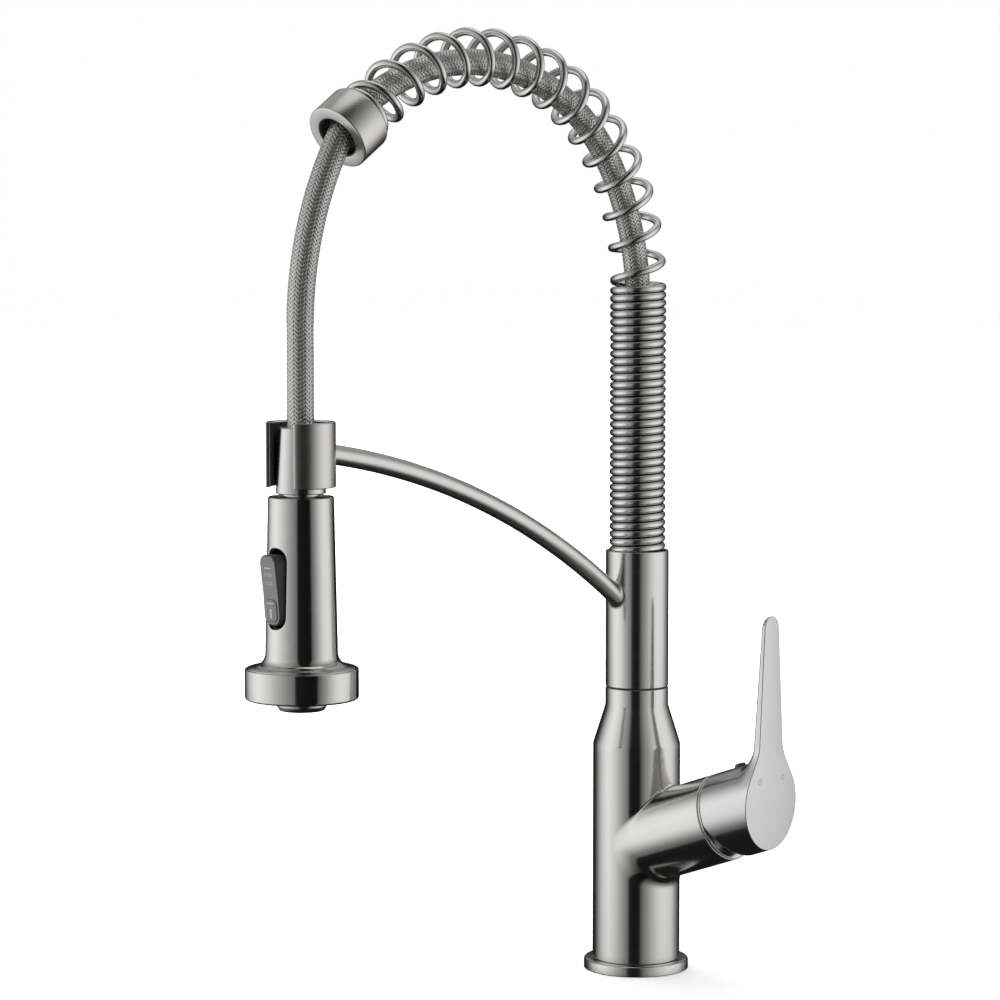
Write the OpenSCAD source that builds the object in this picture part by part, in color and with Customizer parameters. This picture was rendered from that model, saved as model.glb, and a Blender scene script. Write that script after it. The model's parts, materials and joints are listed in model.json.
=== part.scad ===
// Pull down kitchen faucet with an open coil spring over a braided hose.
// Millimetres. The origin is the centre of the base on the deck, +Z is up and the spout points along -Y.

/* [Base] */
// Diameter of the deck flange
flange_d = 54; // [52:0.5:58]
// Thickness of the deck flange
flange_t = 5.5; // [5:0.5:7]
// Diameter of the lower body
body_d = 45; // [44.8:0.2:46]
// Height at which the lower body starts to narrow
body_top = 117.5; // [115:0.5:120]
// Height at which the narrowing ends
cone_top = 137.5; // [135:0.5:139]
// Height of the joint between the body and the turning riser
swivel_z = 146.6; // [145:0.2:148]
// Radius of the threaded socket for the mounting shank
shank_r = 16; // [15:0.5:16]
// Radius of the two threaded supply inlets
inlet_r = 4.5; // [4:0.1:4.8]

/* [Handle] */
// Direction of the handle boss around the column, from +X
handle_turn = 7; // [0:1:15]
// Upward tilt of the boss axis
boss_tilt = 19.6; // [17:0.2:21]
// Height at which the boss axis meets the column axis
boss_z = 64.9; // [63:0.1:66]
// Diameter of the boss and of the handle hub
boss_d = 44.6; // [44:0.2:44.6]
// Distance from the column axis to the upright face of the handle
face_x = 84.3; // [83:0.1:86]
// Height of the lever's tip
lever_tip_z = 189.5; // [180:0.5:195]
// Outward travel of the lever that the hub's bevel leaves room for
lever_travel = 20; // [15:1:20]

/* [Riser and spring] */
// Diameter of the riser and of the body's top
riser_d = 32.4; // [32:0.2:32.6]
// Height of the riser's mouth
riser_top = 217.5; // [216:0.5:219]
// Mean radius of the spring coil
coil_r = 12.4; // [12.3:0.1:12.5]
// Diameter of the spring wire
wire_d = 4; // [3.8:0.1:4]
// Pitch of the closed turns
close_pitch = 4.02; // [4.02:0.01:4.03]
// Number of closed turns
close_turns = 35; // [30:1:35]
// Pitch of the open turns
open_pitch = 17.03; // [16.5:0.01:17.5]
// Height at which the spring starts to bend
bend_z = 354; // [353.5:0.1:355]
// Radius of the spring's bend
bend_r = 112; // [111:0.5:113]
// Turn of the spring's bend
bend_turn = 125; // [124:0.5:126]

/* [Spray head] */
// Distance from the column axis to the spray head's axis
spray_r = 228; // [227.5:0.1:228.5]
// Diameter of the rim round the spray face
rim_d = 53.7; // [53:0.1:55]
// Height of the rim's lower edge
rim_z = 163.3; // [162:0.1:164]
// Height of the shoulder between the rim and the shell
shoulder_z = 178; // [177.5:0.1:178.5]
// Height of the shell's upper end
shell_top = 258.9; // [258:0.1:260]
// Outer radius of the shell's upper end
shell_top_r = 15.5; // [15.4:0.1:16]
// Outer radius of the shell above its flare
shell_low_r = 17.1; // [17:0.1:17.4]
// Height of the hose's end of the neck
neck_top = 291.4; // [290:0.1:293]

/* [Hose and arm] */
// Diameter of the braided hose
hose_d = 13; // [12.6:0.1:13]
// Diameter of the docking arm
arm_d = 9.6; // [9:0.1:10]
// Outer radius of the docking clip
clip_r = 16.5; // [16.4:0.1:17]
// Half of the docking clip's opening angle
clip_gap = 37; // [35:1:40]

/* [Hidden] */
$fn = 64;

// Colours
steel = [0.72, 0.71, 0.69];
dark_plastic = [0.2, 0.2, 0.21];
rubber = [0.08, 0.08, 0.08];
brass = [0.78, 0.63, 0.32];
nylon = [0.9, 0.9, 0.88];

// Base and body
flange_edge = 1.2;
flange_bore_r = 18.05;
gasket_r = [20, 25];
gasket_t = 1.9;
gasket_groove_t = 2;
spigot_r = 18;
socket_depth = 14;
inlet_depth = 9;
inlet_y = 8.5;
passage_r = 3.5;
outlet_r = 9;
outlet_z = 74;
spigot_thread_r = 11.5;
spigot_seat_z = 125;
body_r = body_d / 2;
neck_r = riser_d / 2;

// Boss, cartridge and handle, measured along the boss axis
boss_r = boss_d / 2;
boss_end = 59.4;
pocket_r = 18;
pocket_floor = 30;
port_low_n = -6;
port_high_n = 8;
cartridge_r = 17.4;
cartridge_floor = 30.4;
cartridge_top = 50;
carrier_r = 12;
carrier_low = 40.3;
carrier_top = 52;
pivot_s = 46;
stem_w = 8;
stem_low = 43;
stem_top = 82;
nut_top = 58.5;
nut_bore_r = 13;
trim_r = boss_r - 0.5;
trim_top = 60.6;
hub_low = 60.9;
hub_bevel_n = 2.5;
hub_cavity_r = 17;
hub_cavity_top = 72;
set_screw_s = 77.4;
set_screw_r = 2.5;
plug_r = 3;
lever_tip_w = 12.4;
lever_low_w = 21;
lever_low_z = 119.8;
lever_fillet = 7.7;
lever_tip_t = 3;
lever_low_t = 4.9;
fit_gap = 0.05;

// Riser, spring and hose
riser_in_r = 14.6;
riser_low = swivel_z + 0.8;
glide_r = [12.5, 15.8];
glide_t = 0.6;
spigot_top_r = 12.4;
spigot_top = 175;
spigot_bore_r = 6.5;
o_ring_r = 1;
o_ring_z = [160, 166];
lock_z = 153;
lock_r = 2;
bush_roof = [176.5, 184];
hose_thread_r = 6;
hose_r = hose_d / 2;
hose_low = 194;
sleeve_r = 7.6;
sleeve_top = 210;
seat_bore_r = 9;
seat_low = 205;
wire_r = wire_d / 2;
close_top = bend_z - 1;
seat_top = close_top - (close_turns - 1) * close_pitch - wire_r - 0.02;
open_start_angle = 278.5;
spring_tail = 16.5;
bend_length = bend_r * bend_turn * PI / 180;
spring_length = bend_length + spring_tail;
collar_length = 18;
collar_r = 16.6;
collar_bore_r = 10.7;
collar_edge = 0.8;
// Radii and turns of the hose's bends, from the riser to the free straight end
hose_bend_z = 342;
hose_bends = [[136, 30], [101, 30], [123, 30], [128, 33], [56, 26]];
hose_step = 4;
arm_bend_r = 431;
arm_centre = [276.8, -148];
arm_start_r = 14;
arm_end_r = spray_r - clip_r + 1;
clip_z = [263.2, 294];
clip_wall = 2.3;
clip_edge = 0.6;
liner_wall = 1.5;

// Spray head
neck_top_r = 10.2;
neck_low_r = 11.75;
neck_low = 261.8;
pin_r = 8.95;
pin_low = 233;
shell_wall_r = 13.5;
core_r = 13.2;
bush_z = [240, 257.5];
core_top = 239.6;
core_low = 171;
snap_z = 237;
neck_seal_z = 248;
slot_z = [197.4, 235.6];
slot_w = 13;
rocker_w = 11.4;
rocker_pivot_y = 9.5;
rocker_pivot_z = 216.5;
rocker_waist = 19.1;
rocker_waist_z = 214;
rocker_bay_w = 13.6;
rocker_bay_y = 6.6;
rocker_pin_r = 1;
spool_z = 226;
spool_r = 2.4;
flare_r = 6.3;
rim_r = rim_d / 2;
rim_wall = 2.2;
web_z = 175.5;
web_bore_r = 14.5;
face_z = [165, 168];
face_r = rim_r - rim_wall - 0.2;
aerator_r = 11.7;
aerator_low = 158;
aerator_ring_r = 13.3;
nozzle_r = 0.95;
// Each ring of nozzles as its radius and its count
nozzle_rings = [[17, 18], [21, 24]];

// A ring with square corners between two heights
module ring(outer, inner, low, high) {
    rotate_extrude() translate([inner, low]) square([outer - inner, high - low]);
}

// A cylinder along Z between two heights
module post(r, low, high) {
    translate([0, 0, low]) cylinder(r = r, h = high - low);
}

// A ring of round section
module o_ring(middle_r, section_r) {
    rotate_extrude() translate([middle_r, 0]) circle(section_r);
}

// Places children on the boss axis: local Z runs out along the axis and local -X points up
module on_boss() {
    rotate([0, 0, handle_turn]) translate([0, 0, boss_z]) rotate([0, 90 - boss_tilt, 0]) children();
}

// Places children on the spray head's axis
module on_spray() {
    translate([0, -spray_r, 0]) children();
}

// Turns a shape drawn in XY so that local X is world Y and local Y is world Z
module in_spout_plane() {
    rotate([90, 0, 90]) children();
}

// The point at the end of a bend in the spout plane, from a point [reach, height] and a heading from up
function bend_end(from, heading, radius, turn) =
    [from[0] + radius * (cos(heading) - cos(heading + turn)),
     from[1] + radius * (sin(heading + turn) - sin(heading))];

// The hose's [point, heading] after its first n bends
function hose_state(n) = n == 0 ? [[0, hose_bend_z], 0]
    : let(last = hose_state(n - 1), b = hose_bends[n - 1])
      [bend_end(last[0], last[1], b[0], b[1]), last[1] + b[1]];

// The last bend brings the hose onto the spray head's axis, pointing straight down
hose_last = hose_state(len(hose_bends));
hose_last_r = (spray_r - hose_last[0][0]) / (1 + cos(hose_last[1]));
hose_drop_z = hose_last[0][1] - hose_last_r * sin(hose_last[1]);
all_bends = concat(hose_bends, [[hose_last_r, 180 - hose_last[1]]]);

// Every [reach, height, heading] that the hose's sweep needs, one ring for each step of a bend
function hose_rings() = concat([[0, hose_low, 0]],
    [for (i = [0:len(all_bends) - 1]) for (t = [0:hose_step:all_bends[i][1] - hose_step])
        let(from = hose_state(i), at = bend_end(from[0], from[1], all_bends[i][0], t))
        [at[0], at[1], from[1] + t]],
    [[spray_r, hose_drop_z, 180]]);

// The spring's axis as [reach, height, heading] at a distance from the start of its bend
function spring_axis(s) = s < bend_length
    ? let(h = s / bend_r * 180 / PI) [bend_r * (1 - cos(h)), bend_z + bend_r * sin(h), h]
    : let(e = spring_axis(bend_length - 0.001), t = s - bend_length)
      [e[0] + t * sin(bend_turn), e[1] + t * cos(bend_turn), bend_turn];

// ---- Base ----

module base_flange() {
    edge_x = flange_d / 2 - flange_edge;
    edge_z = flange_t - flange_edge;
    color(steel) difference() {
        rotate_extrude() polygon(concat([[flange_bore_r, 0], [flange_d / 2, 0]],
            [for (a = [0:15:90]) [edge_x + flange_edge * cos(a), edge_z + flange_edge * sin(a)]],
            [[flange_bore_r, flange_t]]));
        ring(gasket_r[1] + 0.1, gasket_r[0] - 0.1, -1, gasket_groove_t);
    }
}

module base_gasket() {
    color(rubber) ring(gasket_r[1], gasket_r[0], 0, gasket_t);
}

module faucet_body() {
    color(steel) difference() {
        union() {
            rotate_extrude() polygon([[0, 0], [spigot_r, 0], [spigot_r, flange_t], [body_r, flange_t],
                [body_r, body_top], [neck_r, cone_top], [neck_r, swivel_z], [0, swivel_z]]);
            on_boss() post(boss_r, 0, boss_end);
        }
        post(shank_r, -1, socket_depth);
        on_boss() post(pocket_r, pocket_floor, boss_end + 1);
        rotate([0, 0, handle_turn]) for (side = [-1, 1]) {
            translate([2, side * inlet_y, 0]) post(inlet_r, socket_depth - 1, socket_depth + inlet_depth);
            translate([2, side * inlet_y, 0]) post(passage_r, socket_depth, boss_z - 5.7);
        }
        on_boss() for (side = [-1, 1]) {
            translate([-port_low_n, side * inlet_y, 0]) post(passage_r - 0.1, 0, pocket_floor + 1);
        }
        on_boss() translate([-port_high_n, 0, 0]) post(4.5, 2, pocket_floor + 1);
        post(outlet_r, outlet_z, swivel_z);
        post(spigot_thread_r, spigot_seat_z, swivel_z + 1);
    }
}

module boss_trim_ring() {
    color(steel) on_boss() rotate_extrude() polygon([[16, nut_top + 0.1], [17.9, nut_top + 0.1],
        [17.9, boss_end + 0.02], [trim_r, boss_end + 0.02], [trim_r, trim_top], [16, trim_top]]);
}

// ---- Cartridge ----

// Places children at the cartridge's three ports
module at_ports() {
    for (side = [-1, 1]) translate([-port_low_n, side * inlet_y, 0]) children();
    translate([-port_high_n, 0, 0]) children();
}

module cartridge_body() {
    color(nylon) on_boss() difference() {
        post(cartridge_r, cartridge_floor, cartridge_top);
        post(carrier_r + fit_gap, carrier_low - 0.3, cartridge_top + 1);
        at_ports() post(3, cartridge_floor - 1, carrier_low);
        at_ports() post(4.6, cartridge_floor - 1, cartridge_floor + 1);
    }
}

module cartridge_seals() {
    color(rubber) on_boss() at_ports() ring(4.5, 3.2, pocket_floor + 0.02, cartridge_floor + 0.9);
}

module cartridge_nut() {
    flat = 27;
    color(brass) on_boss() difference() {
        union() {
            post(pocket_r - 0.1, cartridge_top + 0.05, nut_top - 2.5);
            intersection() {
                post(pocket_r - 0.1, nut_top - 3, nut_top);
                translate([0, 0, nut_top - 3]) cylinder(r = 17.5, h = 3, $fn = 6);
            }
        }
        post(nut_bore_r, cartridge_top - 1, nut_top + 1);
    }
}

module cartridge_carrier() {
    color(nylon) on_boss() difference() {
        post(carrier_r, carrier_low, carrier_top);
        translate([-9, -stem_w / 2 - 0.3, carrier_low + 1.2])
            cube([18, stem_w + 0.6, carrier_top - carrier_low]);
        translate([0, 0, pivot_s]) rotate([90, 0, 0]) cylinder(r = 1.5, h = 40, center = true);
    }
}

module stem_pin() {
    color(steel) on_boss() translate([0, 0, pivot_s]) rotate([90, 0, 0])
        cylinder(r = 1.5, h = 2 * carrier_r - 2, center = true);
}

module cartridge_stem() {
    color(brass) on_boss() difference() {
        translate([-stem_w / 2, -stem_w / 2, stem_low]) cube([stem_w, stem_w, stem_top - stem_low]);
        translate([0, 0, pivot_s]) rotate([90, 0, 0])
            cylinder(r = 1.5 + fit_gap, h = stem_w + 2, center = true);
    }
}

// ---- Handle ----

// Front outline of the lever, in the plane of its upright face, with fillets where it joins the hub
module lever_front() {
    tip_r = lever_tip_w / 2;
    low_r = lever_low_w / 2;
    fillet_x = low_r + lever_fillet;
    polygon(concat(
        [for (a = [50:-10:0]) [fillet_x - lever_fillet * cos(a), lever_low_z - lever_fillet * sin(a)]],
        [for (a = [0:15:180]) [tip_r * cos(a), lever_tip_z - tip_r + tip_r * sin(a)]],
        [for (a = [0:10:50]) [lever_fillet * cos(a) - fillet_x, lever_low_z - lever_fillet * sin(a)]],
        [[-low_r, boss_z + 20], [low_r, boss_z + 20]]));
}

// Side outline of the lever: it thins towards the tip and curves out into the hub behind
module lever_side() {
    back_x = face_x - lever_low_t;
    polygon(concat(
        [[face_x, boss_z + 20], [face_x, lever_tip_z + 1], [face_x - lever_tip_t, lever_tip_z + 1]],
        [for (a = [0:15:75]) [back_x - lever_fillet + lever_fillet * cos(a),
            lever_low_z + 4 - lever_fillet * sin(a)]],
        [[back_x - lever_fillet, boss_z + 20]]));
}

module handle_lever() {
    color(steel) difference() {
        union() {
            difference() {
                on_boss() post(boss_r, hub_low, 110);
                rotate([0, 0, handle_turn]) translate([face_x, -40, 0]) cube([80, 80, 200]);
            }
            intersection() {
                rotate([0, 0, handle_turn]) rotate([90, 0, 90]) linear_extrude(face_x) lever_front();
                rotate([0, 0, handle_turn]) rotate([90, 0, 0]) translate([0, 0, -40])
                    linear_extrude(80) lever_side();
            }
        }
        on_boss() {
            post(hub_cavity_r, hub_low - 1, hub_cavity_top);
            translate([-stem_w / 2 - fit_gap, -stem_w / 2 - fit_gap, hub_cavity_top - 1])
                cube([stem_w + 2 * fit_gap, stem_w + 2 * fit_gap, stem_top - hub_cavity_top + 1.3]);
            rotate([90, 0, 0]) translate([0, 0, -40]) linear_extrude(80) hub_bevel();
            translate([0, 0, set_screw_s]) rotate([0, -90, 0]) post(set_screw_r + fit_gap, 3, 40);
            translate([0, 0, set_screw_s]) rotate([0, -90, 0]) post(plug_r, 19, 40);
        }
    }
}

// What the hub's lower rear edge loses so that the lever can tilt outwards
module hub_bevel() {
    drop = 40;
    polygon([[-hub_bevel_n, hub_low - 1], [-hub_bevel_n, hub_low],
        [drop, hub_low + (drop + hub_bevel_n) * tan(lever_travel + 0.5)], [drop, hub_low - 1]]);
}

module handle_set_screw() {
    color(steel) on_boss() translate([0, 0, set_screw_s]) rotate([0, -90, 0]) difference() {
        post(set_screw_r, stem_w / 2 + 0.02, 14);
        translate([0, 0, 12]) cylinder(r = 1.4, h = 3, $fn = 6);
    }
}

module handle_plug() {
    color(dark_plastic) on_boss() translate([0, 0, set_screw_s]) rotate([0, -90, 0])
        post(plug_r - 0.02, 19.02, boss_r + 1.6);
}

// ---- Swivel and riser ----

module swivel_spigot() {
    groove_r = spigot_top_r - 2 * o_ring_r - 0.1;
    color(brass) difference() {
        union() {
            post(spigot_thread_r - 0.02, spigot_seat_z, swivel_z);
            post(spigot_top_r, swivel_z, spigot_top);
        }
        post(spigot_bore_r, spigot_seat_z - 1, spigot_top + 1);
        for (z = o_ring_z) ring(spigot_top_r + 1, groove_r, z - 1.2, z + 1.2);
        ring(spigot_top_r + 1, spigot_top_r - 1.4, lock_z - lock_r - 0.8, lock_z + lock_r + 0.8);
    }
}

module spigot_o_rings() {
    color(rubber) for (z = o_ring_z) translate([0, 0, z]) o_ring(spigot_top_r - o_ring_r - 0.03, o_ring_r);
}

module swivel_glide_ring() {
    color(dark_plastic) ring(glide_r[1], glide_r[0], swivel_z, swivel_z + glide_t);
}

// The hole for the lock screw, through the back of the riser and its bush
module lock_hole() {
    translate([0, 0, lock_z]) rotate([-90, 0, 0]) post(lock_r + fit_gap, 5, 40);
}

module riser_tube() {
    color(steel) difference() {
        ring(neck_r, riser_in_r, riser_low, riser_top);
        arm_rod(arm_d / 2 + fit_gap);
        lock_hole();
    }
}

module riser_bush() {
    color(brass) difference() {
        post(riser_in_r - 0.02, riser_low, bush_roof[1]);
        post(spigot_top_r + fit_gap, riser_low - 1, bush_roof[0]);
        post(hose_thread_r, bush_roof[0] - 1, bush_roof[1] + 1);
        lock_hole();
    }
}

module riser_lock_screw() {
    color(steel) translate([0, 0, lock_z]) rotate([-90, 0, 0]) difference() {
        post(lock_r, spigot_top_r - 1, neck_r - 0.3);
        translate([0, 0, neck_r - 2]) cylinder(r = 1.15, h = 3, $fn = 6);
    }
}

module spring_seat() {
    color(dark_plastic) difference() {
        post(riser_in_r - 0.02, seat_low, seat_top);
        post(seat_bore_r, seat_low - 1, seat_top + 1);
    }
}

module spring_close() {
    color(steel) for (i = [0:close_turns - 1])
        translate([0, 0, close_top - i * close_pitch]) o_ring(coil_r, wire_r);
}

// The open turns: a coil wound round spring_axis, whose last turn lies flat behind the end collar
module spring_open() {
    steps = 14;
    sides = 8;
    start = wire_d - 0.4;
    end = spring_length - wire_r - 0.1;
    turns = (end - start) / open_pitch + 0.75;
    count = floor(turns * steps);
    function point(i, j) =
        let(s = min(start + i / steps * open_pitch, end), p = spring_axis(s),
            a = open_start_angle + (start / open_pitch + i / steps) * 360,
            q = j * 360 / sides, out = coil_r + wire_r * cos(q), along = wire_r * sin(q),
            reach = p[0] + out * cos(a) * cos(p[2]) + along * sin(p[2]),
            height = p[1] - out * cos(a) * sin(p[2]) + along * cos(p[2]))
        [out * sin(a), -reach, height];
    color(steel) polyhedron(
        points = [for (i = [0:count]) for (j = [0:sides - 1]) point(i, j)],
        faces = concat([[for (j = [0:sides - 1]) j]],
            [for (i = [0:count - 1]) for (j = [0:sides - 1])
                [i * sides + j, (i + 1) * sides + j, (i + 1) * sides + (j + 1) % sides,
                 i * sides + (j + 1) % sides]],
            [[for (j = [sides - 1:-1:0]) count * sides + j]]));
}

// Places children at the spring's end, with local Z running out along the collar's axis
module at_spring_end() {
    end = spring_axis(spring_length);
    translate([0, -end[0], end[1]]) rotate([bend_turn, 0, 0]) children();
}

module spring_end_collar() {
    back_edge = 1.4;
    inner = collar_length - collar_edge;
    color(steel) at_spring_end() rotate_extrude() polygon([[collar_bore_r, 0], [collar_r - back_edge, 0],
        [collar_r, back_edge], [collar_r, inner], [collar_r - collar_edge, collar_length],
        [collar_bore_r + collar_edge / 2, collar_length],
        [collar_bore_r, collar_length - collar_edge / 2]]);
}

// ---- Docking arm and clip ----

// Where the arm is on its bend, as an angle about the bend's centre, at a distance from the column
function arm_angle(reach) = acos((arm_centre[0] - reach) / arm_bend_r);

module arm_rod(r) {
    start = arm_angle(arm_start_r);
    end = arm_angle(arm_end_r);
    translate([0, -arm_centre[0], arm_centre[1]]) in_spout_plane() rotate([0, 0, start])
        rotate_extrude(angle = end - start) translate([arm_bend_r, 0]) circle(r);
}

// Places children at the clip's end of the arm, with local Z running out along the arm
module at_arm_end() {
    translate([0, -arm_centre[0], arm_centre[1]]) in_spout_plane() rotate([0, 0, arm_angle(arm_end_r)])
        translate([arm_bend_r, 0, 0]) rotate([-90, 0, 0]) children();
}

module docking_arm() {
    color(steel) difference() {
        arm_rod(arm_d / 2);
        at_arm_end() post(1.6, -12, 1);
    }
}

// A ring round the spray axis that is open on the side facing away from the column
module open_ring(gap, outline) {
    rotate([0, 0, gap - 90]) rotate_extrude(angle = 360 - 2 * gap) polygon(outline);
}

module docking_clip() {
    inner = clip_r - clip_wall;
    low = clip_z[0];
    high = clip_z[1];
    color(steel) difference() {
        on_spray() open_ring(clip_gap, [[inner, low], [clip_r - clip_edge, low], [clip_r, low + clip_edge],
            [clip_r, high - clip_edge], [clip_r - clip_edge, high], [inner, high]]);
        arm_rod(arm_d / 2 + fit_gap);
        at_arm_end() post(1.7, -2, 4);
    }
}

module clip_liner() {
    outer = clip_r - clip_wall - 0.02;
    low = clip_z[0] + 0.8;
    high = clip_z[1] - 0.8;
    color(rubber) difference() {
        on_spray() open_ring(clip_gap + 3, [[outer - liner_wall, low], [outer, low], [outer, high],
            [outer - liner_wall, high]]);
        at_arm_end() post(3.2, -2, 6);
    }
}

module clip_screw() {
    color(steel) at_arm_end() {
        post(1.58, -9, 1.8);
        post(3, 1.8, 2.6);
    }
}

// ---- Hose ----

module hose_end_fitting() {
    hex_top = bush_roof[1] + 6;
    color(brass) difference() {
        union() {
            post(hose_thread_r - 0.02, bush_roof[0] + 0.5, bush_roof[1]);
            translate([0, 0, bush_roof[1]]) cylinder(r = 9, h = hex_top - bush_roof[1], $fn = 6);
            post(sleeve_r, hex_top, sleeve_top);
        }
        post(3, bush_roof[0] - 1, sleeve_top);
        post(hose_r + 0.2, hose_low - 0.02, sleeve_top + 1);
    }
}

module hose_upper() {
    sides = 12;
    rings = hose_rings();
    last = len(rings) - 1;
    // The sides' corners stand out a little so that the tube keeps its cross-section's area
    corner_r = hose_r * 1.02;
    function point(ring, j) =
        let(q = j * 360 / sides, x = corner_r * sin(q), w = -corner_r * cos(q))
        [x, -ring[0] - w * cos(ring[2]), ring[1] - w * sin(ring[2])];
    color(steel) polyhedron(
        points = [for (ring = rings) for (j = [0:sides - 1]) point(ring, j)],
        faces = concat([[for (j = [0:sides - 1]) j]],
            [for (i = [0:last - 1]) for (j = [0:sides - 1])
                [i * sides + j, (i + 1) * sides + j, (i + 1) * sides + (j + 1) % sides,
                 i * sides + (j + 1) % sides]],
            [[for (j = [sides - 1:-1:0]) last * sides + j]]));
}

module hose_lower() {
    color(steel) on_spray() post(hose_r, neck_top, hose_drop_z);
}

// ---- Neck ----

module spray_neck() {
    color(steel) on_spray() difference() {
        rotate_extrude() polygon([[0, pin_low], [pin_r, pin_low], [pin_r, neck_low],
            [neck_low_r - 0.4, neck_low], [neck_low_r, neck_low + 0.4], [neck_top_r, neck_top - 0.8],
            [neck_top_r - 0.8, neck_top], [0, neck_top]]);
        post(4.5, pin_low - 1, neck_top + 1);
        ring(pin_r + 1, pin_r - 1.1, snap_z - 0.1, snap_z + 1.5);
        ring(pin_r + 1, pin_r - 2.1, neck_seal_z - 1.2, neck_seal_z + 1.2);
    }
}

module neck_o_ring() {
    color(rubber) on_spray() translate([0, 0, neck_seal_z]) o_ring(pin_r - 1.03, 1);
}

module neck_snap_ring() {
    color(steel) on_spray() rotate([0, 0, 20]) rotate_extrude(angle = 320)
        translate([pin_r - 1.05, snap_z]) square([2.6, 1.4]);
}

// ---- Spray head ----

module swivel_bush() {
    color(dark_plastic) on_spray() ring(core_r, pin_r + fit_gap, bush_z[0], bush_z[1]);
}

// Outside of the shell and its shoulder in section, from the top down
function shell_outline() = concat([[shell_top_r - 0.6, shell_top], [shell_top_r, shell_top - 0.6]],
    [for (a = [0:15:90]) [shell_low_r + flare_r * (1 - cos(a)), shoulder_z + 1 + flare_r * (1 - sin(a))]],
    [[rim_r - 1.2, shoulder_z + 0.2], [rim_r - 0.9, shoulder_z]]);

// A round-cornered slot through the wall that faces away from the column
module button_slot(width, low, high) {
    side = 0.6;
    corner = width / 2 - side;
    rotate([90, 0, 0]) {
        translate([-width / 2, low + corner, 0]) cube([width, high - low - 2 * corner, 40]);
        translate([-side, low, 0]) cube([2 * side, high - low, 40]);
        for (x = [-side, side]) for (z = [low + corner, high - corner])
            translate([x, z, 0]) cylinder(r = corner, h = 40);
    }
}

module spray_shell() {
    color(steel) on_spray() difference() {
        rotate_extrude() polygon(concat(shell_outline(), [[shell_wall_r + 0.8, shoulder_z],
            [shell_wall_r + 0.8, shoulder_z + 4], [shell_wall_r, shoulder_z + 8],
            [shell_wall_r, shell_top]]));
        button_slot(slot_w, slot_z[0], slot_z[1]);
    }
}

module spray_core() {
    color(dark_plastic) on_spray() difference() {
        union() {
            post(core_r, core_low, core_top);
            post(face_r - 0.6, core_low, web_z - 0.1);
        }
        post(11, 231, core_top + 1);
        post(5, 214, 232);
        post(6, core_low - 1, 186);
        translate([0, 4, 0]) post(2.5, 180, 225);
        translate([-rocker_bay_w / 2, -30, slot_z[0] - 2])
            cube([rocker_bay_w, 30 - rocker_bay_y, slot_z[1] - slot_z[0] + 3.5]);
        translate([0, 0, spool_z]) rotate([90, 0, 0]) post(spool_r + fit_gap, -6, 20);
        rocker_axis(rocker_pin_r, 30);
    }
}

// A cylinder on the rocker's pivot
module rocker_axis(r, length) {
    translate([0, -rocker_pivot_y, rocker_pivot_z]) rotate([0, 90, 0])
        cylinder(r = r, h = length, center = true);
}

module button_frame() {
    color(dark_plastic) on_spray() difference() {
        intersection() {
            ring(shell_wall_r + 1.2, core_r + 0.1, slot_z[0] - 1.6, slot_z[1] + 1.6);
            button_slot(slot_w - 0.1, slot_z[0] + 0.05, slot_z[1] - 0.05);
        }
        button_slot(rocker_w + 0.3, slot_z[0] + 0.45, slot_z[1] - 0.4);
    }
}

module button_pin() {
    color(steel) on_spray() rocker_axis(rocker_pin_r, 17);
}

// Side outline of the rocker: x is the distance in front of the spray axis, y is the height
module rocker_side() {
    low = slot_z[0] + 1.8;
    high = slot_z[1] - 2.4;
    polygon([[7.9, 214.5], [7.9, 218.5], [13, high - 0.6], [20.6, high], [21.5, high - 0.9],
        [rocker_waist, rocker_waist_z], [17.9, low + 0.7], [17.2, low], [14.4, low]]);
}

module button_rocker() {
    color(dark_plastic) on_spray() difference() {
        intersection() {
            rotate([90, 0, -90]) translate([0, 0, -rocker_w / 2]) linear_extrude(rocker_w) rocker_side();
            button_slot(rocker_w, slot_z[0] + 1.8, slot_z[1] - 2.4);
        }
        rocker_axis(rocker_pin_r + fit_gap, 30);
    }
}

module button_pads() {
    // Each pad's middle as distance in front of the axis and height, its lean, and its height
    pads = [[20.06, 221, 7.8, 6], [18.56, 207, 4.6, 10]];
    pad_w = 8.4;
    color(rubber) on_spray() for (pad = pads)
        translate([0, -pad[0] - 0.03, pad[1]]) rotate([pad[2], 0, 0])
            translate([-pad_w / 2, -0.3, -pad[3] / 2]) cube([pad_w, 0.3, pad[3]]);
}

module diverter_spool() {
    color(nylon) on_spray() translate([0, 0, spool_z]) rotate([90, 0, 0]) post(spool_r, -3.5, 9.6);
}

module spray_rim() {
    edge = 1.4;
    bore = rim_r - rim_wall;
    top = shoulder_z - 0.02;
    color(steel) on_spray() rotate_extrude() polygon(concat(
        [[web_bore_r, web_z], [web_bore_r, top], [rim_r - 0.9, top], [rim_r - 0.25, top - 0.25],
         [rim_r, top - 0.9]],
        [for (a = [0:-15:-90]) [rim_r - edge + edge * cos(a), rim_z + edge + edge * sin(a)]],
        [[bore, rim_z], [bore, web_z]]));
}

// Places children at every spray nozzle
module at_nozzles() {
    for (row = nozzle_rings) for (i = [0:row[1] - 1])
        rotate([0, 0, (i + 0.5) * 360 / row[1]]) translate([row[0], 0, 0]) children();
}

module spray_face() {
    color(dark_plastic) on_spray() difference() {
        post(face_r, face_z[0], face_z[1]);
        post(aerator_ring_r - 1, face_z[0] - 1, face_z[1] + 1);
        at_nozzles() post(nozzle_r, face_z[0] - 1, face_z[1] + 1);
    }
}

module spray_nozzles() {
    color(rubber) on_spray() at_nozzles() post(nozzle_r - 0.02, face_z[0] - 1, face_z[1]);
}

module face_screws() {
    color(steel) on_spray() for (i = [0:2]) rotate([0, 0, i * 120 + 90])
        translate([19, 0, 0]) post(1.4, face_z[1] + 0.02, core_low - 0.02);
}

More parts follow.
